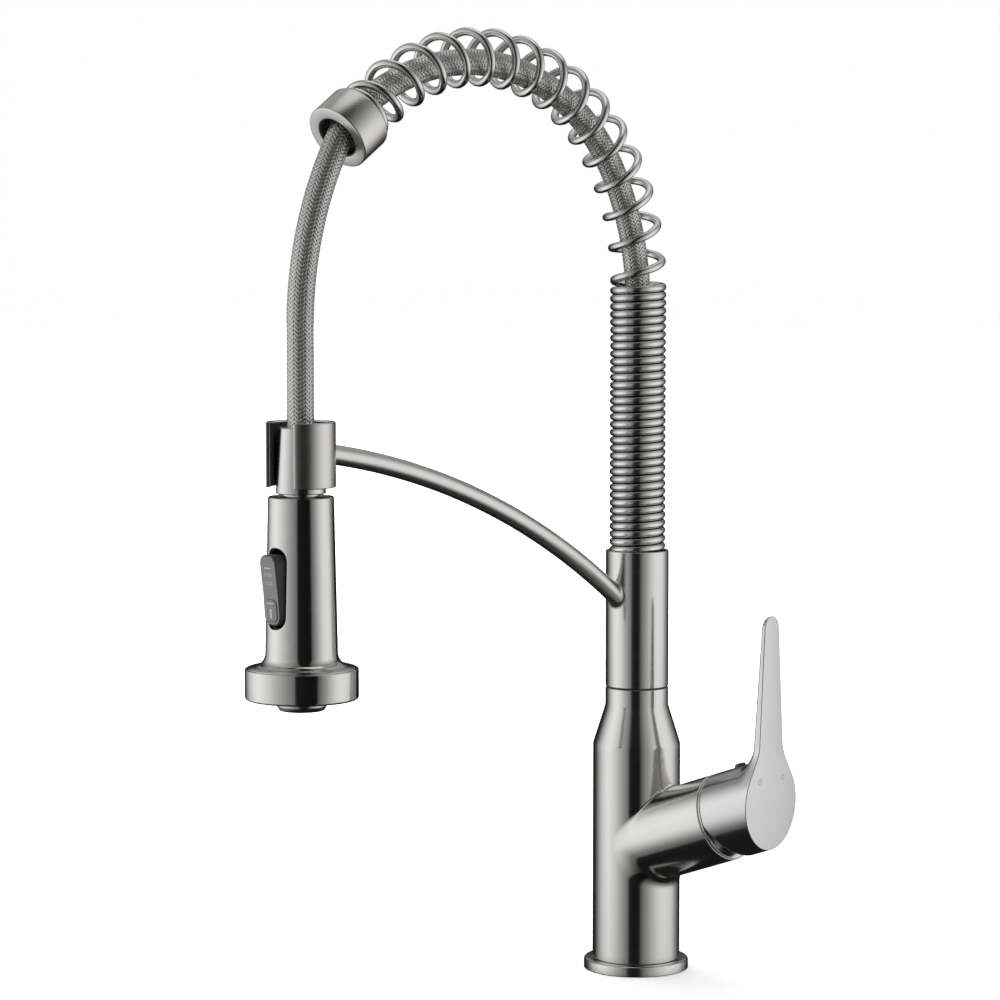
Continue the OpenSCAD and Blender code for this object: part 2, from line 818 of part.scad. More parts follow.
module aerator_housing() {
    color(dark_plastic) on_spray() difference() {
        post(aerator_r, aerator_low, core_low - 0.1);
        post(aerator_r - 1.6, aerator_low - 1, 164);
        post(5, 160, core_low + 1);
    }
}

module aerator_ring() {
    color(steel) on_spray() ring(aerator_ring_r, aerator_r + 0.02, 161.6, face_z[0] - 0.02);
}

module aerator_screen() {
    low = aerator_low + 1.6;
    color(steel) on_spray() difference() {
        post(aerator_r - 1.65, low, low + 1);
        for (x = [-6:3:6]) for (y = [-6:3:6]) translate([x, y, 0]) post(0.9, low - 1, low + 2);
    }
}

base_flange();
base_gasket();
faucet_body();
boss_trim_ring();
cartridge_body();
cartridge_seals();
cartridge_nut();
cartridge_carrier();
stem_pin();
cartridge_stem();
handle_lever();
handle_set_screw();
handle_plug();
swivel_spigot();
spigot_o_rings();
swivel_glide_ring();
riser_tube();
riser_bush();
riser_lock_screw();
spring_seat();
spring_close();
spring_open();
spring_end_collar();
docking_arm();
docking_clip();
clip_liner();
clip_screw();
hose_end_fitting();
hose_upper();
hose_lower();
spray_neck();
neck_o_ring();
neck_snap_ring();
swivel_bush();
spray_shell();
spray_core();
button_frame();
button_pin();
button_rocker();
button_pads();
diverter_spool();
spray_rim();
spray_face();
spray_nozzles();
face_screws();
aerator_housing();
aerator_ring();
aerator_screen();
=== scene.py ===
"""Looks of the pull down kitchen faucet: detailed meshes and materials on the CAD frame.
Shapes are written in millimetres, in the CAD model's own frame, and become metres as each mesh is made."""
import json
import math

import bmesh
import bpy
import numpy as np
from mathutils import Matrix, Vector


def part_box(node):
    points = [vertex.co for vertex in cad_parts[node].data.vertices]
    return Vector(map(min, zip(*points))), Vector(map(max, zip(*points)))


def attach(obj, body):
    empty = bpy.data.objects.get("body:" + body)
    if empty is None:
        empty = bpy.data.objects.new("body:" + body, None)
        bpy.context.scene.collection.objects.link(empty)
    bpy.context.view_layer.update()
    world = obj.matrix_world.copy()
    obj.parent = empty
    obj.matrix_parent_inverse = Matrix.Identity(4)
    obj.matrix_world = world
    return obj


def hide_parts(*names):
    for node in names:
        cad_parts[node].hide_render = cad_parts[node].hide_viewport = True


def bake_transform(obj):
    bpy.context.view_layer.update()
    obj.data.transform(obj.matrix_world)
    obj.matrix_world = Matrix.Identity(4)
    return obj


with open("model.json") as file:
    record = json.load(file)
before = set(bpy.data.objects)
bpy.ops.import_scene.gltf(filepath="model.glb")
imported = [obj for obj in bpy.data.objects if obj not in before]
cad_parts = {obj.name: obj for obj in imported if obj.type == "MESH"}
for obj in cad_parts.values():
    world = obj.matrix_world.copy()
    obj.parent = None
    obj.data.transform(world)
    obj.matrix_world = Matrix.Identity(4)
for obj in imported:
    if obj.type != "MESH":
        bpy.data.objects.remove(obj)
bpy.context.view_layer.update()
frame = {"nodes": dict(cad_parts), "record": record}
scene = bpy.context.scene
MM = 0.001
UP = Vector((0, 0, 1))

# ---- Camera, at the photograph's viewing angle ----

CAMERA_PLACE = (1.24013, -1.30046, 0.40208)
CAMERA_TURN = 45.89
CAMERA_DOWN = 5.059
CAMERA_LENS = 126.42
camera = bpy.data.objects.new("camera", bpy.data.cameras.new("camera"))
camera.data.lens = CAMERA_LENS
camera.data.sensor_width = 36
camera.location = CAMERA_PLACE
camera.rotation_euler = (math.radians(90 - CAMERA_DOWN), 0, math.radians(CAMERA_TURN))
scene.collection.objects.link(camera)
scene.camera = camera

# ---- Places and sizes, in millimetres ----


def reach(node):
    """A CAD node's lowest and highest corner in millimetres."""
    low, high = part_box(node)
    return np.array(low) / MM, np.array(high) / MM


FLANGE_R = reach("base_flange")[1][0]
FLANGE_TOP = reach("base_flange")[1][2]
BODY_R, BODY_TOP, CONE_TOP = 22.5, 117.5, 137.5
SWIVEL_Z = reach("faucet_body")[1][2]
RISER_LOW, RISER_TOP = reach("riser_tube")[0][2], reach("riser_tube")[1][2]
RISER_R, RISER_IN_R = reach("riser_tube")[1][0], 14.6
SOCKET_R, SPIGOT_R, SOCKET_DEPTH = 16, 18, 14
HANDLE_TURN = math.radians(7)
BOSS_TILT = math.radians(19.6)
BOSS_Z, BOSS_R, BOSS_END = 64.9, 22.3, 59.4
HUB_LOW, FACE_X = 60.9, 84.3
LEVER_TIP_Z = reach("handle_lever")[1][2]
COIL_R, WIRE_R = 12.4, 2.0
CLOSE_PITCH, OPEN_PITCH, OPEN_START = 4.02, 17.03, 278.5
BEND_Z, BEND_R, BEND_TURN, SPRING_TAIL = 354, 112, 125, 16.5
COLLAR_R, COLLAR_BORE_R, COLLAR_LENGTH = 16.6, 10.7, 18
SPRAY_R = 228
HOSE_R, HOSE_LOW, HOSE_BEND_Z = 6.5, 194, 342
HOSE_BENDS = ((136, 30), (101, 30), (123, 30), (128, 33), (56, 26))
ARM_R, ARM_BEND_R, ARM_CENTRE = 4.8, 431, (276.8, -148)
CLIP_R, CLIP_WALL, CLIP_GAP = 16.5, 2.3, 37
CLIP_LOW, CLIP_HIGH = reach("docking_clip")[0][2], reach("docking_clip")[1][2]
NECK_LOW, NECK_TOP = reach("spray_neck")[0][2], reach("spray_neck")[1][2]
SHELL_TOP, SHOULDER_Z = reach("spray_shell")[1][2], reach("spray_shell")[0][2]
SLOT_LOW, SLOT_HIGH, SLOT_W = 197.4, 235.6, 13
RIM_R, RIM_LOW, RIM_WALL = 26.85, reach("spray_rim")[0][2], 2.2
FACE_LOW, FACE_HIGH = 165, 168

HANDLE_FRAME = Matrix.Rotation(HANDLE_TURN, 4, "Z")
BOSS_FRAME = (HANDLE_FRAME @ Matrix.Translation((0, 0, BOSS_Z * MM))
              @ Matrix.Rotation(math.pi / 2 - BOSS_TILT, 4, "Y"))
SPRAY_FRAME = Matrix.Translation((0, -SPRAY_R * MM, 0))

# ---- Materials ----


class Shader:
    """A material's node tree, with short calls for adding and joining nodes."""

    def __init__(self, name, **sockets):
        self.material = bpy.data.materials.new(name)
        self.material.use_nodes = True
        self.nodes = self.material.node_tree.nodes
        self.base = self.nodes["Principled BSDF"]
        for socket, value in sockets.items():
            self.base.inputs[socket.replace("_", " ")].default_value = value

    def add(self, kind, inputs=(), **settings):
        node = self.nodes.new("ShaderNode" + kind)
        for key, value in settings.items():
            setattr(node, key, value)
        for socket, value in dict(inputs).items():
            if isinstance(value, bpy.types.NodeSocket):
                self.link(value, node.inputs[socket])
            else:
                node.inputs[socket].default_value = value
        return node

    def link(self, out, to):
        self.material.node_tree.links.new(out, to if not isinstance(to, str) else self.base.inputs[to])

    def noise(self, scale, detail=2.0, rough=0.5, vector=None):
        """Noise over the object's own coordinates, with a scale for each axis, in features a metre."""
        if vector is None:
            vector = self.add("TexCoord").outputs["Object"]
        mapping = self.add("Mapping", {"Vector": vector, "Scale": scale})
        return self.add("TexNoise", {"Vector": mapping.outputs[0], "Scale": 1.0, "Detail": detail,
                                     "Roughness": rough}).outputs[0]

    def spread(self, value, low, high):
        """A noise value stretched from its usual 0.3 to 0.7 onto low to high."""
        return self.add("MapRange", {0: value, 1: 0.3, 2: 0.7, 3: low, 4: high}).outputs[0]

    def blend(self, factor, a, b):
        mix = self.add("Mix", data_type="RGBA")
        mix.inputs[6].default_value = (*a, 1)
        mix.inputs[7].default_value = (*b, 1)
        self.link(factor, mix.inputs[0])
        return mix.outputs[2]

    def bump(self, height, distance, strength=1.0, normal=None):
        inputs = {"Height": height, "Distance": distance, "Strength": strength}
        if normal is not None:
            inputs["Normal"] = normal
        return self.add("Bump", inputs).outputs[0]


def metal(name, colour, roughness, grain, line_depth=0.0012, turned=0.0, painted_shade_attribute=None):
    """Brushed metal. grain is the scale of the brush lines along each axis, turned the anisotropy of a lathed
    piece, and the shade attribute argument the name of an attribute that paints shade by darkening the colour
    towards near black."""
    s = Shader(name, Metallic=1.0, Anisotropic=turned)
    lines = s.noise(grain, 3.0, 0.6)
    clouds = s.noise((38, 38, 24), 3.0)
    tone = s.add("Math", {0: s.spread(clouds, 0.0, 0.5), 1: s.spread(lines, 0.0, 0.5)}, operation="ADD")
    s.link(s.blend(tone.outputs[0], [0.94 * c for c in colour], colour), "Base Color")
    # Painted shade: where the attribute is high, the colour goes to near black, standing in for shade.
    if painted_shade_attribute:
        painted_shade = s.add("Attribute", attribute_name=painted_shade_attribute).outputs["Fac"]
        s.link(s.blend(painted_shade, colour, (0.03, 0.03, 0.03)), "Base Color")
    worn, brushed = s.spread(clouds, -0.015, 0.015), s.spread(lines, roughness - 0.02, roughness + 0.02)
    wear = s.add("Math", {0: worn, 1: brushed}, operation="ADD")
    s.link(wear.outputs[0], "Roughness")
    s.link(s.bump(lines, line_depth * MM), "Normal")
    if turned:
        s.link(s.add("Tangent", direction_type="RADIAL", axis="Z").outputs[0], "Tangent")
    return s.material


def plastic(name, colour, roughness, grain=1500, depth=0.004):
    """Moulded plastic or rubber with a fine spark-eroded grain and slight handling marks."""
    s = Shader(name)
    clouds = s.noise((90, 90, 90), 4.0)
    grain_noise = s.noise((grain, grain, grain), 2.0)
    dark, light = [0.85 * c for c in colour], [1.12 * c for c in colour]
    s.link(s.blend(s.spread(clouds, 0, 1), dark, light), "Base Color")
    s.link(s.spread(clouds, roughness - 0.05, roughness + 0.06), "Roughness")
    s.link(s.bump(grain_noise, depth * MM * 10), "Normal")
    return s.material


ROUND_GRAIN = (45, 45, 2600)
LONG_GRAIN = (2600, 2600, 45)
NICKEL = (0.655, 0.648, 0.63)
nickel = metal("brushed_nickel", NICKEL, 0.15, ROUND_GRAIN)
nickel_turned = metal("brushed_nickel_turned", NICKEL, 0.15, ROUND_GRAIN, turned=0.5)
nickel_head = metal("brushed_nickel_head", NICKEL, 0.11, ROUND_GRAIN, turned=0.5)
nickel_satin = metal("satin_nickel", NICKEL, 0.28, (60, 60, 60), line_depth=0.0002)
nickel_lever = metal("brushed_nickel_lever", (0.645, 0.645, 0.643), 0.2, LONG_GRAIN)
wire_steel = metal("spring_wire", (0.68, 0.68, 0.665), 0.2, (900, 900, 900), line_depth=0.0002)
coil_steel = metal("spring_wire_coiled_gap_shade", (0.68, 0.68, 0.665), 0.2, (900, 900, 900), line_depth=0.0002,
                   painted_shade_attribute="coil_gap_shade")
screw_steel = metal("fastener_steel", (0.55, 0.55, 0.55), 0.35, (800, 800, 800))
brass = metal("machined_brass", (0.75, 0.57, 0.28), 0.3, ROUND_GRAIN)
dark_plastic = plastic("dark_plastic", (0.03, 0.03, 0.031), 0.42)
button_plastic = plastic("button_plastic", (0.055, 0.055, 0.057), 0.48)
button_mark = plastic("button_mark", (0.5, 0.5, 0.5), 0.5)
white_plastic = plastic("white_plastic", (0.78, 0.78, 0.75), 0.4)
rubber = plastic("rubber", (0.018, 0.018, 0.018), 0.62, 900)

SLOT_LOOKS = {"brushed_metal": nickel_turned, "lever_metal": nickel_lever, "spring_steel": wire_steel,
              "braid": wire_steel, "dark_plastic": dark_plastic, "button_plastic": button_plastic,
              "white_plastic": white_plastic, "rubber": rubber, "brass": brass,
              "fastener_steel": screw_steel}
for part in frame["record"]["subparts"]:
    data = frame["nodes"][part["node"]].data
    data.materials.clear()
    data.materials.append(SLOT_LOOKS[part["material_slot"]])

# ---- Meshes ----


def piece(name, points, faces, material, body, nodes=(), place=None, slot="brushed_metal", normals=None):
    """Makes a smooth mesh piece from points in millimetres, places it, and lets it ride on a CAD body."""
    mesh = bpy.data.meshes.new(name)
    mesh.from_pydata(np.asarray(points, float) * MM, [], faces)
    mesh.validate(clean_customdata=False)
    mesh.shade_smooth()
    mesh.set_sharp_from_angle(angle=math.radians(38))
    if normals is not None:
        mesh.normals_split_custom_set_from_vertices(normals)
    mesh.materials.append(material)
    made = bpy.data.objects.new(name, mesh)
    scene.collection.objects.link(made)
    if place is not None:
        made.matrix_world = place
    if body:
        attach(made, body)
    if nodes:
        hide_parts(*nodes)
    return made


def mark_points(made, name, value):
    """Gives each point of a piece a number, under a name that its material reads."""
    value = np.asarray(value, np.float32).ravel()
    made.data.attributes.new(name, "FLOAT", "POINT").data.foreach_set("value", value)


def rounded(corners, steps=5):
    """An outline with its corners rounded. Each corner is (x, y) or (x, y, radius)."""
    out = []
    for i, corner in enumerate(corners):
        p = np.array(corner[:2], float)
        radius = corner[2] if len(corner) > 2 else 0
        if not radius:
            out.append(p)
            continue
        a = np.array(corners[i - 1][:2], float) - p
        b = np.array(corners[(i + 1) % len(corners)][:2], float) - p
        a, b = a / np.linalg.norm(a), b / np.linalg.norm(b)
        half = math.acos(np.clip(a @ b, -1, 1)) / 2
        middle = p + (a + b) / np.linalg.norm(a + b) * radius / math.sin(half)
        start, end = p + a * radius / math.tan(half) - middle, p + b * radius / math.tan(half) - middle
        turn = math.pi - 2 * half
        for k in range(steps + 1):
            t = k / steps
            spot = start * math.sin((1 - t) * turn) + end * math.sin(t * turn)
            out.append(middle + spot / math.sin(turn))
    return out


def turned(outline, count=160, angles=None):
    """Points and faces of an outline of (radius, height) turned about Z. The outline closes on itself."""
    if angles is None:
        angles = np.arange(count) * 2 * math.pi / count
    outline = np.array(outline)
    rows = len(outline)
    points = np.array([[r * math.cos(a), r * math.sin(a), z] for a in angles for r, z in outline])
    faces = [[i * rows + j, (i + 1) % len(angles) * rows + j, (i + 1) % len(angles) * rows + (j + 1) % rows,
              i * rows + (j + 1) % rows] for i in range(len(angles)) for j in range(rows)]
    return points, faces


def joined(parts):
    """Several (points, faces) as one."""
    points, faces, start = [], [], 0
    for p, f in parts:
        points.append(np.asarray(p, float))
        faces += [[start + i for i in face] for face in f]
        start += len(p)
    return np.concatenate(points), faces


def loft_faces(rows, count, caps=True):
    """Faces between rows of points that each close on themselves, with count points in a row."""
    faces = [[k * count + i, k * count + (i + 1) % count, (k + 1) * count + (i + 1) % count,
              (k + 1) * count + i] for k in range(rows - 1) for i in range(count)]
    if caps:
        faces += [list(range(count))[::-1], list(range((rows - 1) * count, rows * count))]
    return faces


def tube(centres, frames, radius, sides):
    """A tube along centres. frames holds two unit vectors across it at each; radius is a number, or one for
    each centre, or one for each point."""
    n = len(centres)
    a = np.arange(sides) * 2 * math.pi / sides
    radius = np.asarray(radius, float).reshape(-1, 1) if np.ndim(radius) < 2 else radius
    radius = np.broadcast_to(radius, (n, sides))
    across, up = frames
    outward = np.cos(a)[None, :, None] * across[:, None] + np.sin(a)[None, :, None] * up[:, None]
    points = centres[:, None] + radius[..., None] * outward
    return points.reshape(-1, 3), loft_faces(n, sides)


def surface(field, low, high, step):
    """Points and faces of the surface where a field of (x, y, z) is nought, found with surface nets and then
    drawn onto the surface by Newton's method, with the surface's own normals."""
    axes = [np.arange(a, b + step, step) for a, b in zip(low, high)]
    grid = np.stack(np.meshgrid(*axes, indexing="ij"), -1)
    value = field(grid.reshape(-1, 3)).reshape(grid.shape[:3])
    inside = value < 0
    nx, ny, nz = value.shape
    count = sum(inside[a:nx - 1 + a, b:ny - 1 + b, c:nz - 1 + c].astype(int)
                for a in (0, 1) for b in (0, 1) for c in (0, 1))
    mixed = (count > 0) & (count < 8)
    number = -np.ones(mixed.shape, int)
    number[mixed] = np.arange(mixed.sum())
    cells = np.argwhere(mixed)
    total, hits = np.zeros((len(cells), 3)), np.zeros(len(cells))
    for axis in range(3):
        for p in (0, 1):
            for q in (0, 1):
                offset = np.insert([p, q], axis, 0)
                other = offset.copy()
                other[axis] = 1
                va, vb = value[tuple((cells + offset).T)], value[tuple((cells + other).T)]
                cross = (va < 0) != (vb < 0)
                t = np.where(cross, va / np.where(cross, va - vb, 1), 0)
                spot = (cells + offset).astype(float)
                spot[:, axis] += t
                total[cross] += spot[cross]
                hits += cross
    points = np.array(low) + total / hits[:, None] * step
    faces = []
    for axis in range(3):
        a, b = [i for i in range(3) if i != axis]
        start, end = [slice(None)] * 3, [slice(None)] * 3
        start[axis], end[axis] = slice(0, -1), slice(1, None)
        change = inside[tuple(start)] != inside[tuple(end)]
        spots = np.argwhere(change)
        spots = spots[(spots[:, a] > 0) & (spots[:, b] > 0) & (spots[:, a] < value.shape[a] - 1)
                      & (spots[:, b] < value.shape[b] - 1)]
        quad = []
        for da, db in ((-1, -1), (0, -1), (0, 0), (-1, 0)):
            near = spots.copy()
            near[:, a] += da
            near[:, b] += db
            quad.append(number[tuple(near.T)])
        quad = np.stack(quad, 1)
        flip = inside[tuple(spots.T)] == (axis == 1)
        quad[flip] = quad[flip][:, ::-1]
        faces.append(quad)
    faces = np.concatenate(faces)
    for _ in range(6):
        slope = gradient(field, points)
        size = np.maximum((slope ** 2).sum(1, keepdims=True), 0.05)
        points = points - np.clip(field(points)[:, None] * slope / size, -0.3 * step, 0.3 * step)
    slope = gradient(field, points)
    return points, faces.tolist(), slope / np.maximum(np.linalg.norm(slope, axis=1, keepdims=True), 1e-9)


def gradient(field, points, h=0.02):
    out = np.empty_like(points)
    for axis in range(3):
        shift = np.zeros(3)
        shift[axis] = h
        out[:, axis] = (field(points + shift) - field(points - shift)) / (2 * h)
    return out


def round_min(a, b, r):
    """The union of two fields, with a fillet of radius r."""
    u, v = np.maximum(r - a, 0), np.maximum(r - b, 0)
    return np.maximum(r, np.minimum(a, b)) - np.hypot(u, v)


def fillet_min(a, b, level, r):
    """The union of two fields with a true fillet of radius r. level is the cosine between their slopes."""
    u, v, level = r - a, r - b, np.clip(level, -0.99, 0.999)
    far = (u * u + v * v - 2 * level * u * v) / (1 - level ** 2)
    touched = (u > level * v) & (v > level * u) & (u > 0) & (v > 0)
    return np.where(touched, r - np.sqrt(np.maximum(far, 0)), np.minimum(a, b))


def round_max(a, b, r):
    """What two fields share, with an edge of radius r."""
    return np.minimum(-r, np.maximum(a, b)) + np.hypot(np.maximum(r + a, 0), np.maximum(r + b, 0))


def polygon_field(x, y, corners):
    """Signed distance to a closed polygon in a plane, negative inside."""
    best, sign = np.full(len(x), 1e9), np.ones(len(x))
    for (ax, ay), (bx, by) in zip(corners, np.roll(corners, -1, axis=0)):
        ex, ey, wx, wy = bx - ax, by - ay, x - ax, y - ay
        t = np.clip((wx * ex + wy * ey) / (ex * ex + ey * ey), 0, 1)
        best = np.minimum(best, (wx - ex * t) ** 2 + (wy - ey * t) ** 2)
        above, below, left = y >= ay, y < by, ex * wy > ey * wx
        flip = (above & below & left) | (~above & ~below & ~left)
        sign = np.where(flip, -sign, sign)
    return sign * np.sqrt(best)


def cut(points, faces, normals, place, normal, keep=0.2):
    """Cuts a mesh with a plane and keeps what is behind it. Returns the mesh and the rim's point numbers in
    order."""
    bm = bmesh.new()
    layer = bm.verts.layers.float_vector.new("normal")
    made = [bm.verts.new(p) for p in points]
    for v, n in zip(made, normals):
        v[layer] = n
    for face in faces:
        bm.faces.new([made[i] for i in face])
    bmesh.ops.bisect_plane(bm, geom=bm.verts[:] + bm.edges[:] + bm.faces[:], dist=keep, plane_co=place,
                           plane_no=normal, clear_outer=True)
    bm.verts.ensure_lookup_table()
    bm.verts.index_update()
    spot, up = Vector(place), Vector(normal).normalized()
    edges = [e for e in bm.edges
             if e.is_boundary and all(abs((v.co - spot) @ up) < keep * 1.5 for v in e.verts)]
    for e in edges:
        for v in e.verts:
            v.co -= up * ((v.co - spot) @ up)
    following = {}
    for e in edges:
        a, b = (loop.vert.index for loop in (e.link_loops[0], e.link_loops[0].link_loop_next))
        following[b] = a
    ring = [next(iter(following))]
    while following.get(ring[-1], ring[0]) != ring[0] and len(ring) <= len(following):
        ring.append(following[ring[-1]])
    out = (np.array([v.co for v in bm.verts]), [[v.index for v in f.verts] for f in bm.faces],
           np.array([v[layer] for v in bm.verts]))
    bm.free()
    return *out, ring


def grow(points, faces, normals, ring, rows, cap=True):
    """Adds rows of points to a rim, each with the rim's number of points, and closes the last one."""
    last, count = list(ring), len(ring)
    faces = list(faces)
    for row in rows:
        fresh = list(range(len(points), len(points) + count))
        points = np.concatenate([points, row])
        normals = np.concatenate([normals, np.zeros((count, 3))])
        faces += [[last[i], last[(i + 1) % count], fresh[(i + 1) % count], fresh[i]] for i in range(count)]
        last = fresh
    if cap:
        faces.append(last)
    return points, faces, normals


# ---- Base, body and handle ----

def in_boss(p):
    """Distance along the boss axis, up from it and sideways from it, for points in the handle's frame."""
    along = p[:, 0] * math.cos(BOSS_TILT) + (p[:, 2] - BOSS_Z) * math.sin(BOSS_TILT)
    up = -p[:, 0] * math.sin(BOSS_TILT) + (p[:, 2] - BOSS_Z) * math.cos(BOSS_TILT)
    return along, up, p[:, 1]


def body_field(p):
    """The column with its boss, in the handle's frame. The crease is sharp above the boss and soft below it,
    and it widens where the two walls are close to one direction."""
    along, up, side = in_boss(p)
    column, boss = np.hypot(p[:, 0], p[:, 1]), np.hypot(up, side)
    level = (p[:, 0] * -math.sin(BOSS_TILT) * up + p[:, 1] * side) / np.maximum(column * boss, 1e-6)
    soft = 5 + 22 * np.clip(level, 0, 1) ** 2
    fillet = soft + (1 - soft) * np.clip((up - 3) / 11, 0, 1)
    return fillet_min(column - BODY_R, np.maximum(boss - BOSS_R, -along), level, fillet)


def rings(points, ring, to_world, outline):
    """Rows of points round an axis, one for each (radius, height) of the outline, at the rim's own angles."""
    local = points[ring] @ to_world[:3, :3] - to_world[:3, 3] @ to_world[:3, :3]
    angle = np.arctan2(local[:, 1], local[:, 0])
    return [np.stack([r * np.cos(angle), r * np.sin(angle), np.full(len(ring), h)], 1) @ to_world[:3, :3].T
            + to_world[:3, 3] for r, h in outline]


def grow_rings(points, faces, normals, ring, to_world, outline):
    rows = rings(points, ring, to_world, outline)
    points[ring] = rows[0]
    return grow(points, faces, normals, ring, rows[1:])


BOSS_LOCAL = np.array(Matrix.Translation((0, 0, BOSS_Z)) @ Matrix.Rotation(math.pi / 2 - BOSS_TILT, 4, "Y"))
boss_axis = Vector(BOSS_LOCAL[:3, 2])
points, faces, normals = surface(body_field, (-24, -25, 7), (66, 25, 119), 0.9)
foot_cut, top_cut, boss_cut = 9, BODY_TOP - 1, BOSS_END - 0.8
points, faces, normals, ring = cut(points, faces, normals, (0, 0, foot_cut), -UP)
points, faces, normals = grow_rings(points, faces, normals, ring, np.eye(4), rounded([
    (BODY_R, foot_cut), (BODY_R, FLANGE_TOP, 0.4), (SPIGOT_R, FLANGE_TOP), (SPIGOT_R, 0, 0.4),
    (SOCKET_R, 0, 0.4), (SOCKET_R, SOCKET_DEPTH)]))
points, faces, normals, ring = cut(points, faces, normals, (0, 0, top_cut), UP)
points, faces, normals = grow_rings(points, faces, normals, ring, np.eye(4), rounded([
    (BODY_R, top_cut), (BODY_R, BODY_TOP, 5), (RISER_R, CONE_TOP, 6), (RISER_R, SWIVEL_Z, 0.35),
    (12.6, SWIVEL_Z)]))
points, faces, normals, ring = cut(points, faces, normals, boss_axis * boss_cut + UP * BOSS_Z, boss_axis)
points, faces, normals = grow_rings(points, faces, normals, ring, BOSS_LOCAL, rounded([
    (BOSS_R, boss_cut), (BOSS_R, BOSS_END, 0.4), (18, BOSS_END), (18, BOSS_END - 8)]))
piece("body_casting", points, faces, nickel, "base", ["faucet_body"], HANDLE_FRAME, normals=normals)

flange = rounded([(18.05, 0), (19.9, 0), (19.9, 2), (25.1, 2), (25.1, 0), (FLANGE_R, 0, 0.5),
                  (FLANGE_R, FLANGE_TOP, 1.3), (BODY_R + 0.9, FLANGE_TOP), (BODY_R + 0.5, FLANGE_TOP - 0.4),
                  (18.05, FLANGE_TOP - 0.4)])
piece("deck_flange", *turned(flange), nickel_turned, "base", ["base_flange"])
trim = rounded([(16, 58.6), (17.9, 58.6), (17.9, 59.42), (BOSS_R - 0.5, 59.42, 0.3),
                (BOSS_R - 0.5, 60.6, 0.4), (16, 60.6)])
piece("boss_seam_ring", *turned(trim), nickel_turned, "base", ["boss_trim_ring"], BOSS_FRAME)

LEVER_TIP_W, LEVER_LOW_W, LEVER_LOW_Z = 6.2, 10.5, 119.8
LEVER_TIP_T, LEVER_LOW_T, LEVER_FILLET, FACE_EDGE = 3.0, 4.9, 7.7, 0.5
tip_middle = LEVER_TIP_Z - LEVER_TIP_W
lever_side = (LEVER_LOW_W - LEVER_TIP_W) / (tip_middle - LEVER_LOW_Z)
lever_foot = LEVER_LOW_Z - 30
lever_outline = np.array(
    [(LEVER_TIP_W * math.cos(a), tip_middle + LEVER_TIP_W * math.sin(a)) for a in np.linspace(0, math.pi, 25)]
    + [(side * (LEVER_LOW_W + 30 * lever_side), lever_foot) for side in (-1, 1)])


def handle_field(p):
    """The handle's hub and lever before its upright face is cut, in the handle's frame."""
    along, up, side = in_boss(p)
    bevel = math.radians(22)
    behind = (HUB_LOW + (-2.5 - up) * math.tan(bevel) - along) * math.cos(bevel)
    far = np.hypot(up, side)
    hub = round_max(far - BOSS_R, np.maximum(HUB_LOW - along, behind), 0.6)
    thick = LEVER_TIP_T + (LEVER_TIP_Z - p[:, 2]) * (LEVER_LOW_T - LEVER_TIP_T) / (LEVER_TIP_Z - LEVER_LOW_Z)
    lever = round_max(polygon_field(p[:, 1], p[:, 2], lever_outline), FACE_X - thick - p[:, 0], 2.3)
    handle = round_min(hub, lever, LEVER_FILLET)
    return np.maximum(handle, -np.maximum(far - 17, along - 72))


points, faces, normals = surface(handle_field, (48, -24, 64), (FACE_X + 1.2, 24, LEVER_TIP_Z + 1), 0.55)
points, faces, normals, ring = cut(points, faces, normals, (FACE_X - FACE_EDGE, 0, 0), (1, 0, 0), 0.12)
across = gradient(handle_field, points[ring]) * (0, 1, 1)
across /= np.linalg.norm(across, axis=1, keepdims=True)
rows = [points[ring] - across * FACE_EDGE * (1 - math.cos(a)) + np.array((FACE_EDGE * math.sin(a), 0, 0))
        for a in np.radians((15, 30, 45, 60, 75, 90))]
points, faces, normals = grow(points, faces, normals, ring, rows)
piece("lever_handle", points, faces, nickel_lever, "handle", ["handle_lever"], HANDLE_FRAME, "lever_metal",
      normals)


def plate(width, height, corner, thick, edge, steps=6, inset=0.0):
    """A small round-cornered plate in the XZ plane that stands out towards -Y, with rounded front edges."""
    outs, levels = [0.0, 0.0], [0.25, -thick + edge]
    for a in np.radians((30, 60, 90)):
        outs.append(edge * (1 - math.cos(a)))
        levels.append(-thick + edge - edge * math.sin(a))
    rows = []
    for out, y in zip(outs, levels):
        w, h, r = width / 2 - out - inset, height / 2 - out - inset, max(corner - out - inset, 0.02)
        rows.append([(sx * (w - r) + r * math.cos(a), y, sz * (h - r) + r * math.sin(a))
                     for sx, sz, start in ((1, 1, 0), (-1, 1, 90), (-1, -1, 180), (1, -1, 270))
                     for a in np.radians(np.linspace(start, start + 90, steps))])
    return np.array([p for row in rows for p in row]), loft_faces(len(rows), len(rows[0]))


def shifted(part, x=0.0, y=0.0, z=0.0, lean=0.0, turn=0.0):
    """A part moved, after leaning about X and turning about Z by angles in degrees."""
    points, faces = part
    a, b = math.radians(lean), math.radians(turn)
    lean_by = np.array([[1, 0, 0], [0, math.cos(a), -math.sin(a)], [0, math.sin(a), math.cos(a)]])
    turn_by = np.array([[math.cos(b), -math.sin(b), 0], [math.sin(b), math.cos(b), 0], [0, 0, 1]])
    return points @ lean_by.T @ turn_by.T + (x, y, z), faces


MARK_Y, MARK_Z, MARK_R = 10, 107, 1.2
ring_line = rounded([(MARK_R - 0.22, -0.03), (MARK_R + 0.22, -0.03), (MARK_R + 0.22, 0.04, 0.03),
                     (MARK_R - 0.22, 0.04, 0.03)], 2)
marks = []
for side in (-1, 1):
    spots, mark_faces = turned(ring_line, 32)
    spots = np.stack([spots[:, 2] + FACE_X, spots[:, 0] + side * MARK_Y, spots[:, 1] + MARK_Z], 1)
    marks.append((spots, mark_faces))
mark_look = metal("etched_mark", (0.45, 0.45, 0.44), 0.4, LONG_GRAIN)
piece("temperature_marks", *joined(marks), mark_look, "handle", (), HANDLE_FRAME, "lever_metal")

